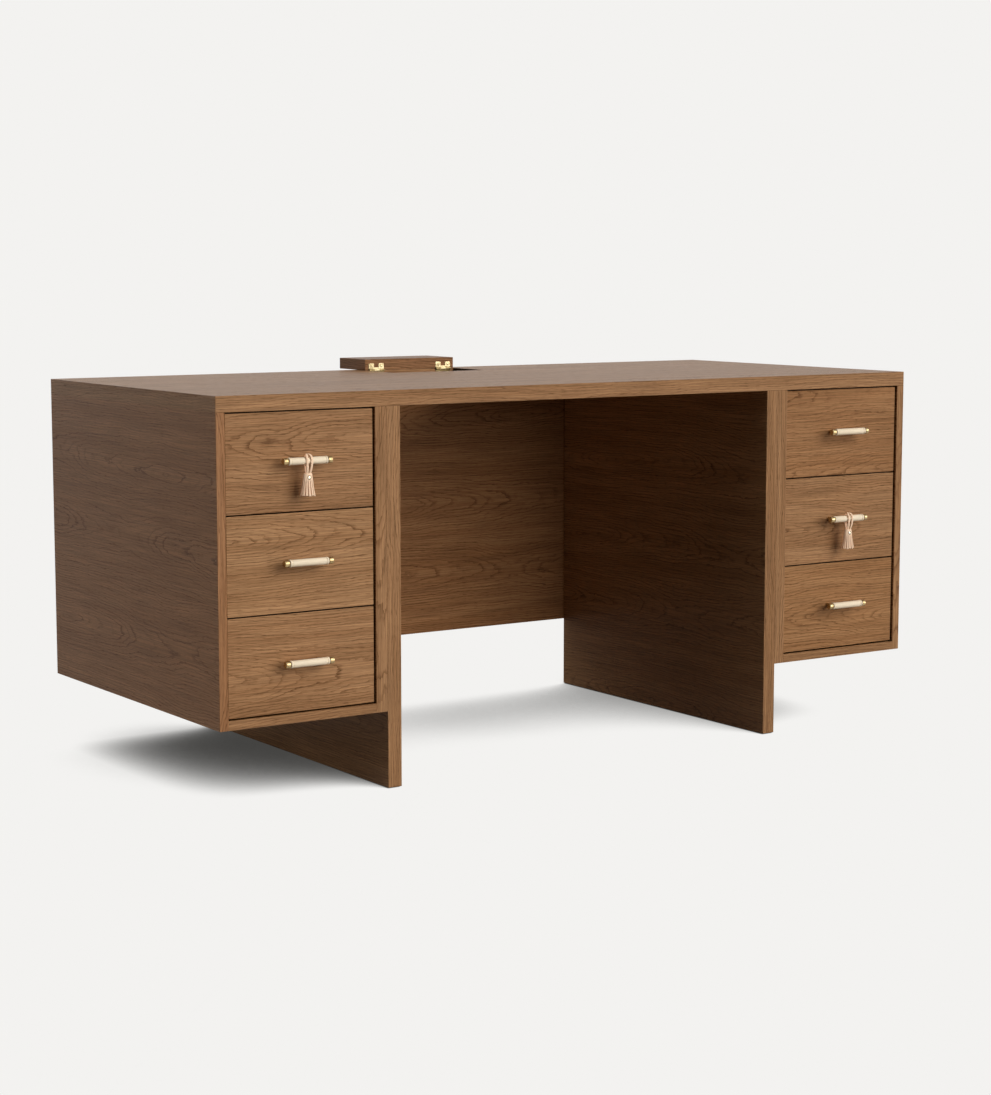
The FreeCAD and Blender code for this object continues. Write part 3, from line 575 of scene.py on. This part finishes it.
class DESK_OT_veneer(bpy.types.Operator):
    """Veneer the carcass, the top, the drawer fronts and the cable lid"""

    bl_idname = "desk.veneer"
    bl_label = "Veneer the Desk"

    CUT_OUT_ROOM = 0.03

    def execute(self, context):
        veneer = context.scene.desk_veneer
        build_board_grain()
        build_oak_figure()
        build_crevice_shade()
        colours = (veneer.tone, veneer.streak, veneer.line, veneer.pore)
        for node, cut in BOARDS.items():
            # Some boards carry painted shade in this share of colour.
            tint_and_shade = (*TINTS_AND_SHADE.get(node, (1, 1, 1)), 1)
            tinted = [[value * share for value, share in zip(shown, tint_and_shade)] for shown in colours]
            finish(board_material(f"oak_{node}", cut, tinted, veneer), node)
        # Painted shade on the end walls of the cable cut-out
        self.paint_cut_out_shade(bpy.data.materials["oak_desk_top"], veneer.cut_out_shade)
        return {"FINISHED"}

    def paint_cut_out_shade(self, material, shading):
        """Paint shade on the end walls of the cable cut-out in the top."""
        nodes = Nodes(material.node_tree)
        openings = {opening["name"]: opening for opening in frame["record"]["physics"]["openings"]}
        low, high = (Vector(corner) for corner in openings["cable_hole"]["box_m"])
        from_middle = nodes.vector("ABSOLUTE", nodes.vector("SUBTRACT", own_place(nodes), (low + high) / 2))
        reach = (high - low) / 2 + Vector((self.CUT_OUT_ROOM,) * 3)
        x, y, _ = nodes.split(nodes.vector("DIVIDE", from_middle, reach))
        inside = nodes.math("MULTIPLY", nodes.math("LESS_THAN", x, 1), nodes.math("LESS_THAN", y, 1))
        sideways, _, _ = nodes.split(nodes.vector("ABSOLUTE", nodes.add("TexCoord", {}, out="Normal")))
        # Painted shade only on the walls that face along X
        wall = nodes.math("MULTIPLY", inside, nodes.math("GREATER_THAN", sideways, 0.5))
        paint_over(nodes, wall, shading)


class DESK_OT_drawer_boxes(bpy.types.Operator):
    """Finish the drawer boxes and the rails in plain timber"""

    bl_idname = "desk.drawer_boxes"
    bl_label = "Finish the Drawer Boxes"

    SHIFT_ALONG = 1 / 3
    SHIFT_ACROSS = 1 / 20

    def execute(self, context):
        veneer = context.scene.desk_veneer
        colours = (veneer.box_tone, veneer.box_streak, veneer.box_line, veneer.box_pore)
        nodes = [f"{drawer}_drawer_box" for drawer in DRAWERS] + ["top_rails"]
        for number, node in enumerate(nodes):
            cut = (BOX_BOARDS, number * self.SHIFT_ALONG, number * self.SHIFT_ACROSS, number)
            finish(board_material(f"timber_{node}", cut, colours, veneer), node)
        return {"FINISHED"}


class DESK_OT_metalwork(bpy.types.Operator):
    """Finish pulls, hinges, studs, runners and glides"""

    bl_idname = "desk.metalwork"
    bl_label = "Finish the Metalwork"

    def execute(self, context):
        metal = context.scene.desk_metal
        build_handled_finish()
        # The hinge brass gets painted shade in its gaps, which darkens the barrel in the corner by the lid.
        hinged = {"streak": (0.003,) * 3, "roughness": (0.3, 0.5), "crevice": metal.hinge_crevice}
        brass = handled_material("polished_brass", metal, "brass", (0.004,) * 3, (0.24, 0.4))
        steel = handled_material("plated_steel", metal, "steel", (0.002, 0.2, 0.002), (0.3, 0.45))
        plastic = handled_material("glide_plastic", metal, "glide", (0.003,) * 3, (0.5, 0.7), metallic=0)
        hinge = handled_material("hinge_brass", metal, "hinge", **hinged)
        # Painted shade: the fixed leaves and the pins get a darker copy of the hinge brass.
        knuckle = handled_material("knuckle_brass", metal, "knuckle", **hinged)
        # Painted highlight: a brighter brass for the studs.
        stud_highlight = handled_material("bright_brass", metal, "stud", (0.004,) * 3, (0.2, 0.35))
        finish(hinge, "hinge_lid_leaves")
        finish(knuckle, "hinge_frame_leaves", "hinge_pins")
        finish(stud_highlight, *(f"{side}_tassel_stud" for side in SIDES))
        finish(steel, "cabinet_runners")
        for drawer in DRAWERS:
            finish(brass, f"{drawer}_pull")
            finish(steel, f"{drawer}_drawer_runners", f"{drawer}_middle_runners")
        finish(plastic, "floor_glides")
        return {"FINISHED"}


def open_mesh(name, primitive, **settings):
    """Add a primitive with nothing else selected, and open it for editing."""
    bpy.ops.object.select_all(action="DESELECT")
    primitive(**settings)
    piece = bpy.context.object
    piece.name = piece.data.name = name
    bpy.ops.object.transform_apply()
    bpy.ops.object.mode_set(mode="EDIT")
    return piece


def close_mesh():
    bpy.ops.object.mode_set(mode="OBJECT")


def pick(piece, kind, test):
    """Select the points or faces of an open mesh whose places pass a test."""
    bpy.ops.mesh.select_mode(type=kind)
    bpy.ops.mesh.select_all(action="DESELECT")
    cage = bmesh.from_edit_mesh(piece.data)
    for part in cage.verts if kind == "VERT" else cage.faces:
        part.select_set(test(part.co if kind == "VERT" else part.calc_center_median()))
    cage.select_flush_mode()
    bmesh.update_edit_mesh(piece.data)


def stretch(*shares, middle=(0, 0, 0)):
    """Stretch what is selected away from a middle."""
    bpy.ops.transform.resize(value=shares, center_override=middle)


def draw_out(way):
    """Extrude the selected edges or faces."""
    bpy.ops.mesh.extrude_region_move(TRANSFORM_OT_translate={"value": way})


def face_outwards():
    """Turn all faces of an open mesh outwards."""
    bpy.ops.mesh.select_all(action="SELECT")
    bpy.ops.mesh.normals_make_consistent(inside=False)


def weld():
    """Merge the doubles of an open mesh and turn its faces outwards."""
    bpy.ops.mesh.select_all(action="SELECT")
    bpy.ops.mesh.remove_doubles(threshold=WELD)
    face_outwards()


def lathe(name, profile, axis, steps):
    """Draw a profile point by point from a plane drawn together, and spin it round an axis."""
    piece = open_mesh(name, bpy.ops.mesh.primitive_plane_add, size=WELD)
    bpy.ops.mesh.merge(type="CENTER")
    bpy.ops.transform.translate(value=profile[0])
    for start, end in zip(profile, profile[1:]):
        bpy.ops.mesh.extrude_vertices_move(TRANSFORM_OT_translate={"value": Vector(end) - Vector(start)})
    bpy.ops.mesh.select_all(action="SELECT")
    bpy.ops.mesh.spin(steps=steps, angle=math.tau, center=(0, 0, 0), axis=axis)
    weld()
    return piece


def select_only(*pieces):
    bpy.ops.object.select_all(action="DESELECT")
    for piece in pieces:
        piece.select_set(True)
    bpy.context.view_layer.objects.active = pieces[0]


def change(piece, kind, **settings):
    """Add a modifier and apply it."""
    select_only(piece)
    modifier = piece.modifiers.new(kind.title(), kind)
    for option, value in settings.items():
        setattr(modifier, option, value)
    bpy.ops.object.modifier_apply(modifier=modifier.name)


def round_off(piece):
    change(piece, "SUBSURF", levels=1, render_levels=1)


def carve(piece, cutter):
    """Take one shape out of another."""
    change(piece, "BOOLEAN", object=cutter, operation="DIFFERENCE", solver="EXACT")
    discard(cutter)


def discard(piece):
    select_only(piece)
    bpy.ops.object.delete()


def place_copy(piece, name, place, turned=(0, 0, 0)):
    """Copy a piece with its mesh, and move the copy's mesh to its place."""
    select_only(piece)
    bpy.ops.object.duplicate()
    made = bpy.context.object
    made.name = made.data.name = name
    made.location = place
    made.rotation_euler = turned
    bpy.ops.object.transform_apply()
    return made


def join(name, pieces):
    select_only(*pieces)
    bpy.ops.object.join()
    joined = bpy.context.object
    joined.name = joined.data.name = name
    return joined


def hand_over(piece, body, node, material, smooth=40):
    """Shade a finished piece, and let it stand for a CAD node on a body."""
    select_only(piece)
    bpy.ops.object.shade_smooth_by_angle(angle=math.radians(smooth))
    piece.data.materials.clear()
    piece.data.materials.append(material)
    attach(piece, body)
    if node:
        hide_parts(node)


class DESK_OT_grips(bpy.types.Operator):
    """Sew a leather grip round each pull"""

    bl_idname = "desk.grips"
    bl_label = "Make the Grips"

    STEPS = 64
    SEAM_TURN = math.radians(-60)
    SKIN = 0.0002
    POST_ROOM = 0.0035
    POST_PLACE = 0.032
    POST_DEPTH = 0.02
    SEAM_ROOM = 0.002
    STITCH_SHARES = (-1, -0.6, -0.2, 0.2, 0.6, 1)
    STITCH_HALF = Vector((0.0009, 0, 0.0014))
    STITCH_SINK = Vector((0, 0.0008, 0))

    # Outline of a collar's end, its inner edge and the groove beside it: the way along the grip, and the
    # depth below the collar or, in the groove, below the sleeve.
    COLLAR_END = [(0, 0.0006), (0.00025, 0.00015), (0.0007, 0)]
    COLLAR_EDGE = [(-0.0005, 0), (0, 0.0004)]
    GROOVE = [(0.0002, 0.0005), (0.0007, 0.0005), (0.001, 0.0001), (0.0015, 0)]

    def execute(self, context):
        leather = context.scene.desk_leather
        build_leather_grain()
        hide = leather_material("grip_leather", leather, "grip")
        thread = handled_material(
            "waxed_thread", leather, "thread", (0.0004,) * 3, (0.5, 0.65), metallic=0)
        low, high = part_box(f"{DRAWERS[0]}_pull_grip")
        half = (high - low) / 2
        grip = self.turn_grip(leather, half.x, half.z)
        seam = self.sew_seam(leather, half.x, half.z)
        for drawer in DRAWERS:
            low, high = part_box(f"{drawer}_pull_grip")
            sleeve = place_copy(grip, f"{drawer}_leather_grip", (low + high) / 2)
            stitches = place_copy(seam, f"{drawer}_grip_stitches", (low + high) / 2)
            hand_over(sleeve, f"{drawer}_drawer", f"{drawer}_pull_grip", hide)
            hand_over(stitches, f"{drawer}_drawer", None, thread)
        discard(grip)
        discard(seam)
        return {"FINISHED"}

    def turn_grip(self, leather, half, collar):
        """A sleeve with a rolled collar at each end, a groove inside each, and a seam behind it."""
        sleeve = collar - leather.collar_rise
        inner = half - leather.collar_width
        rising = [(-half, leather.grip_bore)]
        for start, top, curve in (
                (-half, collar, self.COLLAR_END), (-inner, collar, self.COLLAR_EDGE),
                (-inner, sleeve, self.GROOVE)):
            rising += [(start + along, top - depth) for along, depth in curve]
        outline = rising + [(-x, radius) for x, radius in reversed(rising)] + rising[:1]
        grip = lathe("grip", [(x, -radius, 0) for x, radius in outline], (1, 0, 0), self.STEPS)
        groove = 1 - leather.seam_depth / sleeve
        pick(grip, "VERT", lambda place: (
            abs(place.x) < inner and place.yz.length > sleeve - self.SKIN
            and abs(math.atan2(place.z, place.y) - self.SEAM_TURN) < math.pi / self.STEPS))
        stretch(1, groove, groove)
        close_mesh()
        for side in (-1, 1):
            post = open_mesh(
                "post_room", bpy.ops.mesh.primitive_cylinder_add, radius=self.POST_ROOM,
                depth=self.POST_DEPTH, location=(side * self.POST_PLACE, self.POST_DEPTH / 2, 0),
                rotation=(math.pi / 2, 0, 0))
            close_mesh()
            carve(grip, post)
        return grip

    def sew_seam(self, leather, half, collar):
        """A row of slanted stitches across the seam."""
        sleeve = collar - leather.collar_rise
        reach = half - leather.collar_width - self.SEAM_ROOM
        count = int(2 * reach / leather.stitch_pitch)
        start = Vector((-leather.stitch_pitch * (count - 1) / 2, sleeve, 0))
        path = [
            start + share * self.STITCH_HALF - share * share * self.STITCH_SINK
            for share in self.STITCH_SHARES]
        seam = open_mesh(
            "stitches", bpy.ops.mesh.primitive_circle_add, vertices=6, radius=leather.thread_radius,
            fill_type="NGON", location=path[0])
        for first, second in zip(path, path[1:]):
            draw_out(second - first)
        weld()
        close_mesh()
        change(seam, "ARRAY", count=count, use_relative_offset=False, use_constant_offset=True,
               constant_offset_displace=(leather.stitch_pitch, 0, 0))
        seam.rotation_euler.x = self.SEAM_TURN
        bpy.ops.object.transform_apply()
        return seam


class DESK_OT_tassels(bpy.types.Operator):
    """Fold a strap over two of the grips, and hang a fringed tassel from it"""

    bl_idname = "desk.tassels"
    bl_label = "Make the Tassels"

    # One strand of a strap, from the front of the tassel's head, over the grip and back: its place from
    # the grip's axis and half its width.
    STRAND = [
        (0.0024, -0.0022, -0.028, 0.002), (0.0028, -0.0042, -0.0225, 0.0022),
        (0.0036, -0.0062, -0.017, 0.0023), (0.0043, -0.0075, -0.011, 0.0024),
        (0.0047, -0.0081, -0.005, 0.0024), (0.0048, -0.0082, 0.0005, 0.0024),
        (0.0048, -0.008, 0.0045, 0.0024), (0.0047, -0.0071, 0.0076, 0.0023),
        (0.0042, -0.0056, 0.0099, 0.0022), (0.0031, -0.0031, 0.0117, 0.0021),
        (0.002, 0.0002, 0.0124, 0.0019), (0.0017, 0.0034, 0.0117, 0.0016),
        (0.0017, 0.006, 0.0096, 0.0016), (0.0017, 0.0077, 0.0058, 0.0016),
        (0.0017, 0.0082, 0.0008, 0.0016), (0.0017, 0.008, -0.005, 0.0016),
        (0.0017, 0.0072, -0.012, 0.0016), (0.0017, 0.005, -0.019, 0.0016),
        (0.0017, 0.0022, -0.028, 0.0016),
    ]
    HEAD_TOP = -0.0245
    HEAD_FOOT = -0.036
    FALL = -0.0286
    INNER_DROP = 0.006
    INNER_SHARE = 0.6
    INNER_FEWER = 5
    ROWS = 6
    COLUMNS = 4
    TIP_EDGE = 1.012
    FLATNESS = 0.6
    HANG_POWER = 1.6
    FIRST_SEED = 3

    # Half the width and depth of the outer fringe at its top, at the foot of its head and at its tips.
    HEAD_HALF = (0.008, 0.0055)
    FOOT_HALF = (0.009, 0.0055)
    TIP_HALF = (0.0135, 0.008)
    FLARE = [tip / foot for tip, foot in zip(TIP_HALF, FOOT_HALF)]

    # How the top edge rolls in: the share that each ring keeps of the last one's width, and its rise.
    HEAD_ROLL = ((0.86, 0.0007), (0.6, 0.0002), (0.95, -0.004))

    # How far a strip's tip may hang outwards, sideways and up from its place.
    STRIP_DRIFTS = ((-0.0008, 0.0018), (-0.0005, 0.0005), (-0.0006, 0.0012))

    def execute(self, context):
        leather = context.scene.desk_leather
        for number, (side, drawer) in enumerate(TASSEL_DRAWERS.items()):
            hide = leather_material(f"{side}_tassel_leather", leather, "tassel")
            # Painted shade round the stud on the leather.
            paint_stud_shade_ring(hide, f"{side}_tassel_stud", leather)
            low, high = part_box(f"{drawer}_pull_grip")
            chances = random.Random(number + self.FIRST_SEED)
            layers = [self.fold_strand(leather, side_sign) for side_sign in (-1, 1)]
            inner_top = self.HEAD_TOP - self.INNER_DROP
            inner_strips = leather.strips - self.INNER_FEWER
            layers.append(self.cut_fringe(leather, chances, leather.strips, 1.0, self.HEAD_TOP))
            layers.append(self.cut_fringe(leather, chances, inner_strips, self.INNER_SHARE, inner_top))
            tassel = join("tassel", layers)
            hung = place_copy(tassel, f"{side}_leather_tassel", (low + high) / 2)
            discard(tassel)
            hand_over(hung, f"{side}_tassel", f"{side}_tassel", hide, smooth=60)
        return {"FINISHED"}

    def fold_strand(self, leather, sign):
        """One strand of a strap, drawn out of a flat ring along its way over the grip."""
        places = [Vector((sign * x, y, z)) for x, y, z, _ in self.STRAND]
        widths = [width for *_, width in self.STRAND]
        strand = open_mesh(
            "strand", bpy.ops.mesh.primitive_circle_add, vertices=12, radius=1, location=places[0])
        stretch(widths[0], leather.lace_thick / 2, 1, middle=places[0])
        leans = [self.lean(first, second) for first, second in zip(places, places[1:])]
        leans = [leans[0]] + [(first + second) / 2 for first, second in zip(leans, leans[1:])] + [leans[-1]]
        lean = 0.0
        for number, place in enumerate(places):
            if number:
                draw_out(place - places[number - 1])
                stretch(widths[number] / widths[number - 1], 1, 1, middle=place)
            bpy.ops.transform.rotate(value=lean - leans[number], orient_axis="X", center_override=place)
            lean = leans[number]
        face_outwards()
        close_mesh()
        round_off(strand)
        return strand

    def lean(self, first, second):
        """How far a run of strap leans back from upright, as it goes over the grip."""
        step = second - first
        leaned = math.atan2(step.y, step.z)
        return leaned % math.tau if step.z < 0 or step.y > 0 else leaned

    def turned(self, place):
        """How far round the flaring fringe a place is."""
        down = max(0, (place.z - self.HEAD_FOOT) / self.FALL)
        across = self.FOOT_HALF[0] / self.FOOT_HALF[1] * (self.FLARE[0] / self.FLARE[1]) ** down
        return math.atan2(place.y * across, place.x) % math.tau

    def cut_fringe(self, leather, chances, strips, share, top):
        """A rolled head whose lower part is cut into strips, each of which hangs its own way.

        The last column of faces in each strip's share is cut away.
        """
        columns = self.COLUMNS * strips
        fringe = open_mesh(
            "fringe", bpy.ops.mesh.primitive_cylinder_add, vertices=columns, radius=1,
            depth=top - self.HEAD_FOOT, end_fill_type="NOTHING",
            location=(0, 0, (top + self.HEAD_FOOT) / 2))
        stretch(*(share * half for half in self.HEAD_HALF), 1)
        pick(fringe, "VERT", lambda place: place.z > top - WELD)
        for pull, rise in self.HEAD_ROLL:
            draw_out((0, 0, rise))
            stretch(pull, pull, 1)
        pick(fringe, "VERT", lambda place: place.z < self.HEAD_FOOT + WELD)
        stretch(*(foot / head for foot, head in zip(self.FOOT_HALF, self.HEAD_HALF)), 1)
        rows = [(row + 1) / self.ROWS for row in range(self.ROWS)] + [self.TIP_EDGE]
        for last, row in zip([0] + rows, rows):
            draw_out((0, 0, (row - last) * self.FALL))
            stretch(*(rate ** (row - last) for rate in self.FLARE), 1)
        step = math.tau / columns
        half_share = self.COLUMNS / 2 * step
        pick(fringe, "FACE", lambda place: (
            place.z < self.HEAD_FOOT and self.turned(place) // step % self.COLUMNS == self.COLUMNS - 1))
        bpy.ops.mesh.delete(type="FACE")
        for strip in range(strips):
            middle = (self.COLUMNS * strip + (self.COLUMNS - 1) / 2) * step
            out, aside, up = (chances.uniform(*reach) for reach in self.STRIP_DRIFTS)
            outward = Vector((math.cos(middle), self.FLATNESS * math.sin(middle), 0))
            sideways = Vector((-math.sin(middle), self.FLATNESS * math.cos(middle), 0))
            hang = out * outward + aside * sideways + Vector((0, 0, up))
            for row in rows:
                height = self.HEAD_FOOT + row * self.FALL
                pick(fringe, "VERT", lambda place: (
                    abs(place.z - height) < WELD
                    and abs((self.turned(place) - middle + math.pi) % math.tau - math.pi) < half_share))
                bpy.ops.transform.translate(value=hang * row ** self.HANG_POWER)
        face_outwards()
        close_mesh()
        change(fringe, "SOLIDIFY", thickness=leather.strip_thick, offset=-1)
        round_off(fringe)
        return fringe


class DESK_OT_hinge_screws(bpy.types.Operator):
    """Make the slotted screws of the hinges"""

    bl_idname = "desk.hinge_screws"
    bl_label = "Make the Hinge Screws"

    STEPS = 32
    HINGE_MIDDLE = 0.087
    SLOT_TURNS = (12, 74, 131, 38)
    SLOT_WIDTH = 0.0007
    SLOT_DEPTH = 0.0006
    HEAD_THICK = 0.0011
    SHANK_SHARE = 0.48
    POINT = 0.003

    # Dome of a head: share of its radius, and depth below its top.
    DOME = [(0, 0), (0.3, 0.00003), (0.6, 0.00018), (0.85, 0.0005), (1, 0.00095)]

    def execute(self, context):
        brass = bpy.data.materials["hinge_brass"]
        for part, body in (("frame", "desk"), ("lid", "lid")):
            node = f"hinge_{part}_screws"
            low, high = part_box(node)
            screw = self.turn_screw(high.y - low.y, (high.z - low.z) / 2)
            outer = high.x - (high.z - low.z) / 2
            spots = [-outer, outer - 2 * self.HINGE_MIDDLE, 2 * self.HINGE_MIDDLE - outer, outer]
            height = (low.z + high.z) / 2
            screws = [
                place_copy(screw, "screw", (spot, low.y, height), (0, math.radians(turned), 0))
                for spot, turned in zip(spots, self.SLOT_TURNS)]
            discard(screw)
            hand_over(join(f"slotted_{part}_screws", screws), body, node, brass)
        return {"FINISHED"}

    def turn_screw(self, length, head):
        """A domed head with a slot, on a pointed shank."""
        shank = self.SHANK_SHARE * head
        profile = [(share * head, depth) for share, depth in self.DOME]
        profile += [
            (head, self.HEAD_THICK), (shank, self.HEAD_THICK), (shank, length - self.POINT), (0, length)]
        screw = lathe("screw", [(radius, y, 0) for radius, y in profile], (0, 1, 0), self.STEPS)
        close_mesh()
        slot = open_mesh("slot", bpy.ops.mesh.primitive_cube_add, size=1)
        stretch(self.SLOT_WIDTH, 2 * self.SLOT_DEPTH, 3 * head)
        close_mesh()
        carve(screw, slot)
        return screw


class DESK_OT_stage(bpy.types.Operator):
    """Set up the floor, the light and the camera"""

    bl_idname = "desk.stage"
    bl_label = "Set Up the Studio"

    SHADOW_LEAN = (0.25, -0.46, 0.8)
    SHADOW_SHARES = (0.12, 0.56)
    SHADOW_SAMPLES = 64

    def execute(self, context):
        stage = context.scene.desk_stage
        self.make_camera(context, stage)
        self.make_floor(stage)
        for light in ("key", "side", "back"):
            self.make_sun(stage, light)
        self.make_world(context, stage)
        context.scene.view_settings.view_transform = "Standard"
        return {"FINISHED"}

    def make_camera(self, context, stage):
        bpy.ops.object.camera_add(location=stage.camera_place, rotation=stage.camera_turn)
        camera = context.object
        camera.name = "studio_camera"
        camera.data.lens = stage.camera_lens
        context.scene.camera = camera

    def make_floor(self, stage):
        bpy.ops.mesh.primitive_plane_add(size=2 * stage.floor_reach)
        floor = bpy.context.object
        floor.name = "studio_floor"
        floor.data.materials.append(self.floor_material(stage))

    def seen(self, nodes):
        """One for rays that show a surface to the camera, straight or by reflection."""
        path = nodes.add("LightPath", {}).node.outputs
        rays = [path[f"Is {kind} Ray"] for kind in ("Camera", "Glossy", "Transmission")]
        return nodes.math("MAXIMUM", nodes.math("MAXIMUM", *rays[:2]), rays[2])

    def floor_material(self, stage):
        """Pale floor that keeps a soft shadow, and lights the desk only a little."""
        material, nodes, _ = new_material("studio_floor")
        lean = nodes.join(*self.SHADOW_LEAN)
        reach = {"Distance": stage.shadow_reach, "Normal": lean}
        opened = nodes.add("AmbientOcclusion", reach, out="AO", samples=self.SHADOW_SAMPLES)
        shown = nodes.blend(nodes.ramp(opened, *self.SHADOW_SHARES), stage.shadow, stage.backdrop)
        mixed = nodes.add("MixShader", {
            0: self.seen(nodes),
            1: nodes.add("BsdfDiffuse", {"Color": stage.bounce}),
            2: nodes.add("Emission", {"Color": shown}),
        })
        nodes.fill(nodes.tree.nodes["Material Output"].inputs, {"Surface": mixed})
        return material

    def make_sun(self, stage, light):
        height, turned, spread = (getattr(stage, f"{light}_{part}") for part in ("height", "turn", "spread"))
        bpy.ops.object.light_add(type="SUN", rotation=(math.pi / 2 - height, 0, turned))
        sun = bpy.context.object
        sun.name = f"{light}_light"
        sun.data.energy = getattr(stage, light)
        sun.data.angle = spread

    def make_world(self, context, stage):
        world = bpy.data.worlds.new("studio")
        world.use_nodes = True
        context.scene.world = world
        nodes = Nodes(world.node_tree)
        fill = [stage.fill] * 3 + [1.0]
        shown = nodes.blend(self.seen(nodes), fill, stage.backdrop)
        nodes.fill(world.node_tree.nodes["Background"].inputs, {"Color": shown})


OPERATORS = (
    DESK_OT_stage, DESK_OT_veneer, DESK_OT_drawer_boxes, DESK_OT_metalwork, DESK_OT_hinge_screws,
    DESK_OT_grips, DESK_OT_tassels)
SETTINGS = {
    "desk_veneer": DeskVeneer, "desk_metal": DeskMetal, "desk_leather": DeskLeather,
    "desk_stage": DeskStage}


class DESK_PT_looks(bpy.types.Panel):
    """Lists the steps that dress the desk, and their settings"""

    bl_label = "Pedestal Desk"
    bl_space_type = "VIEW_3D"
    bl_region_type = "UI"
    bl_category = "Desk"

    def draw(self, context):
        for operator in OPERATORS:
            self.layout.operator(operator.bl_idname)
        for name, settings in SETTINGS.items():
            box = self.layout.box()
            for setting in settings.__annotations__:
                box.prop(getattr(context.scene, name), setting)


CLASSES = (*SETTINGS.values(), *OPERATORS, DESK_PT_looks)


def register():
    for kind in CLASSES:
        bpy.utils.register_class(kind)
    for name, settings in SETTINGS.items():
        setattr(bpy.types.Scene, name, PointerProperty(type=settings))


def unregister():
    for name in SETTINGS:
        delattr(bpy.types.Scene, name)
    for kind in reversed(CLASSES):
        bpy.utils.unregister_class(kind)


def main():
    register()
    bpy.ops.desk.stage()
    bpy.ops.desk.veneer()
    bpy.ops.desk.drawer_boxes()
    bpy.ops.desk.metalwork()
    bpy.ops.desk.hinge_screws()
    bpy.ops.desk.grips()
    bpy.ops.desk.tassels()


if __name__ == "__main__":
    main()
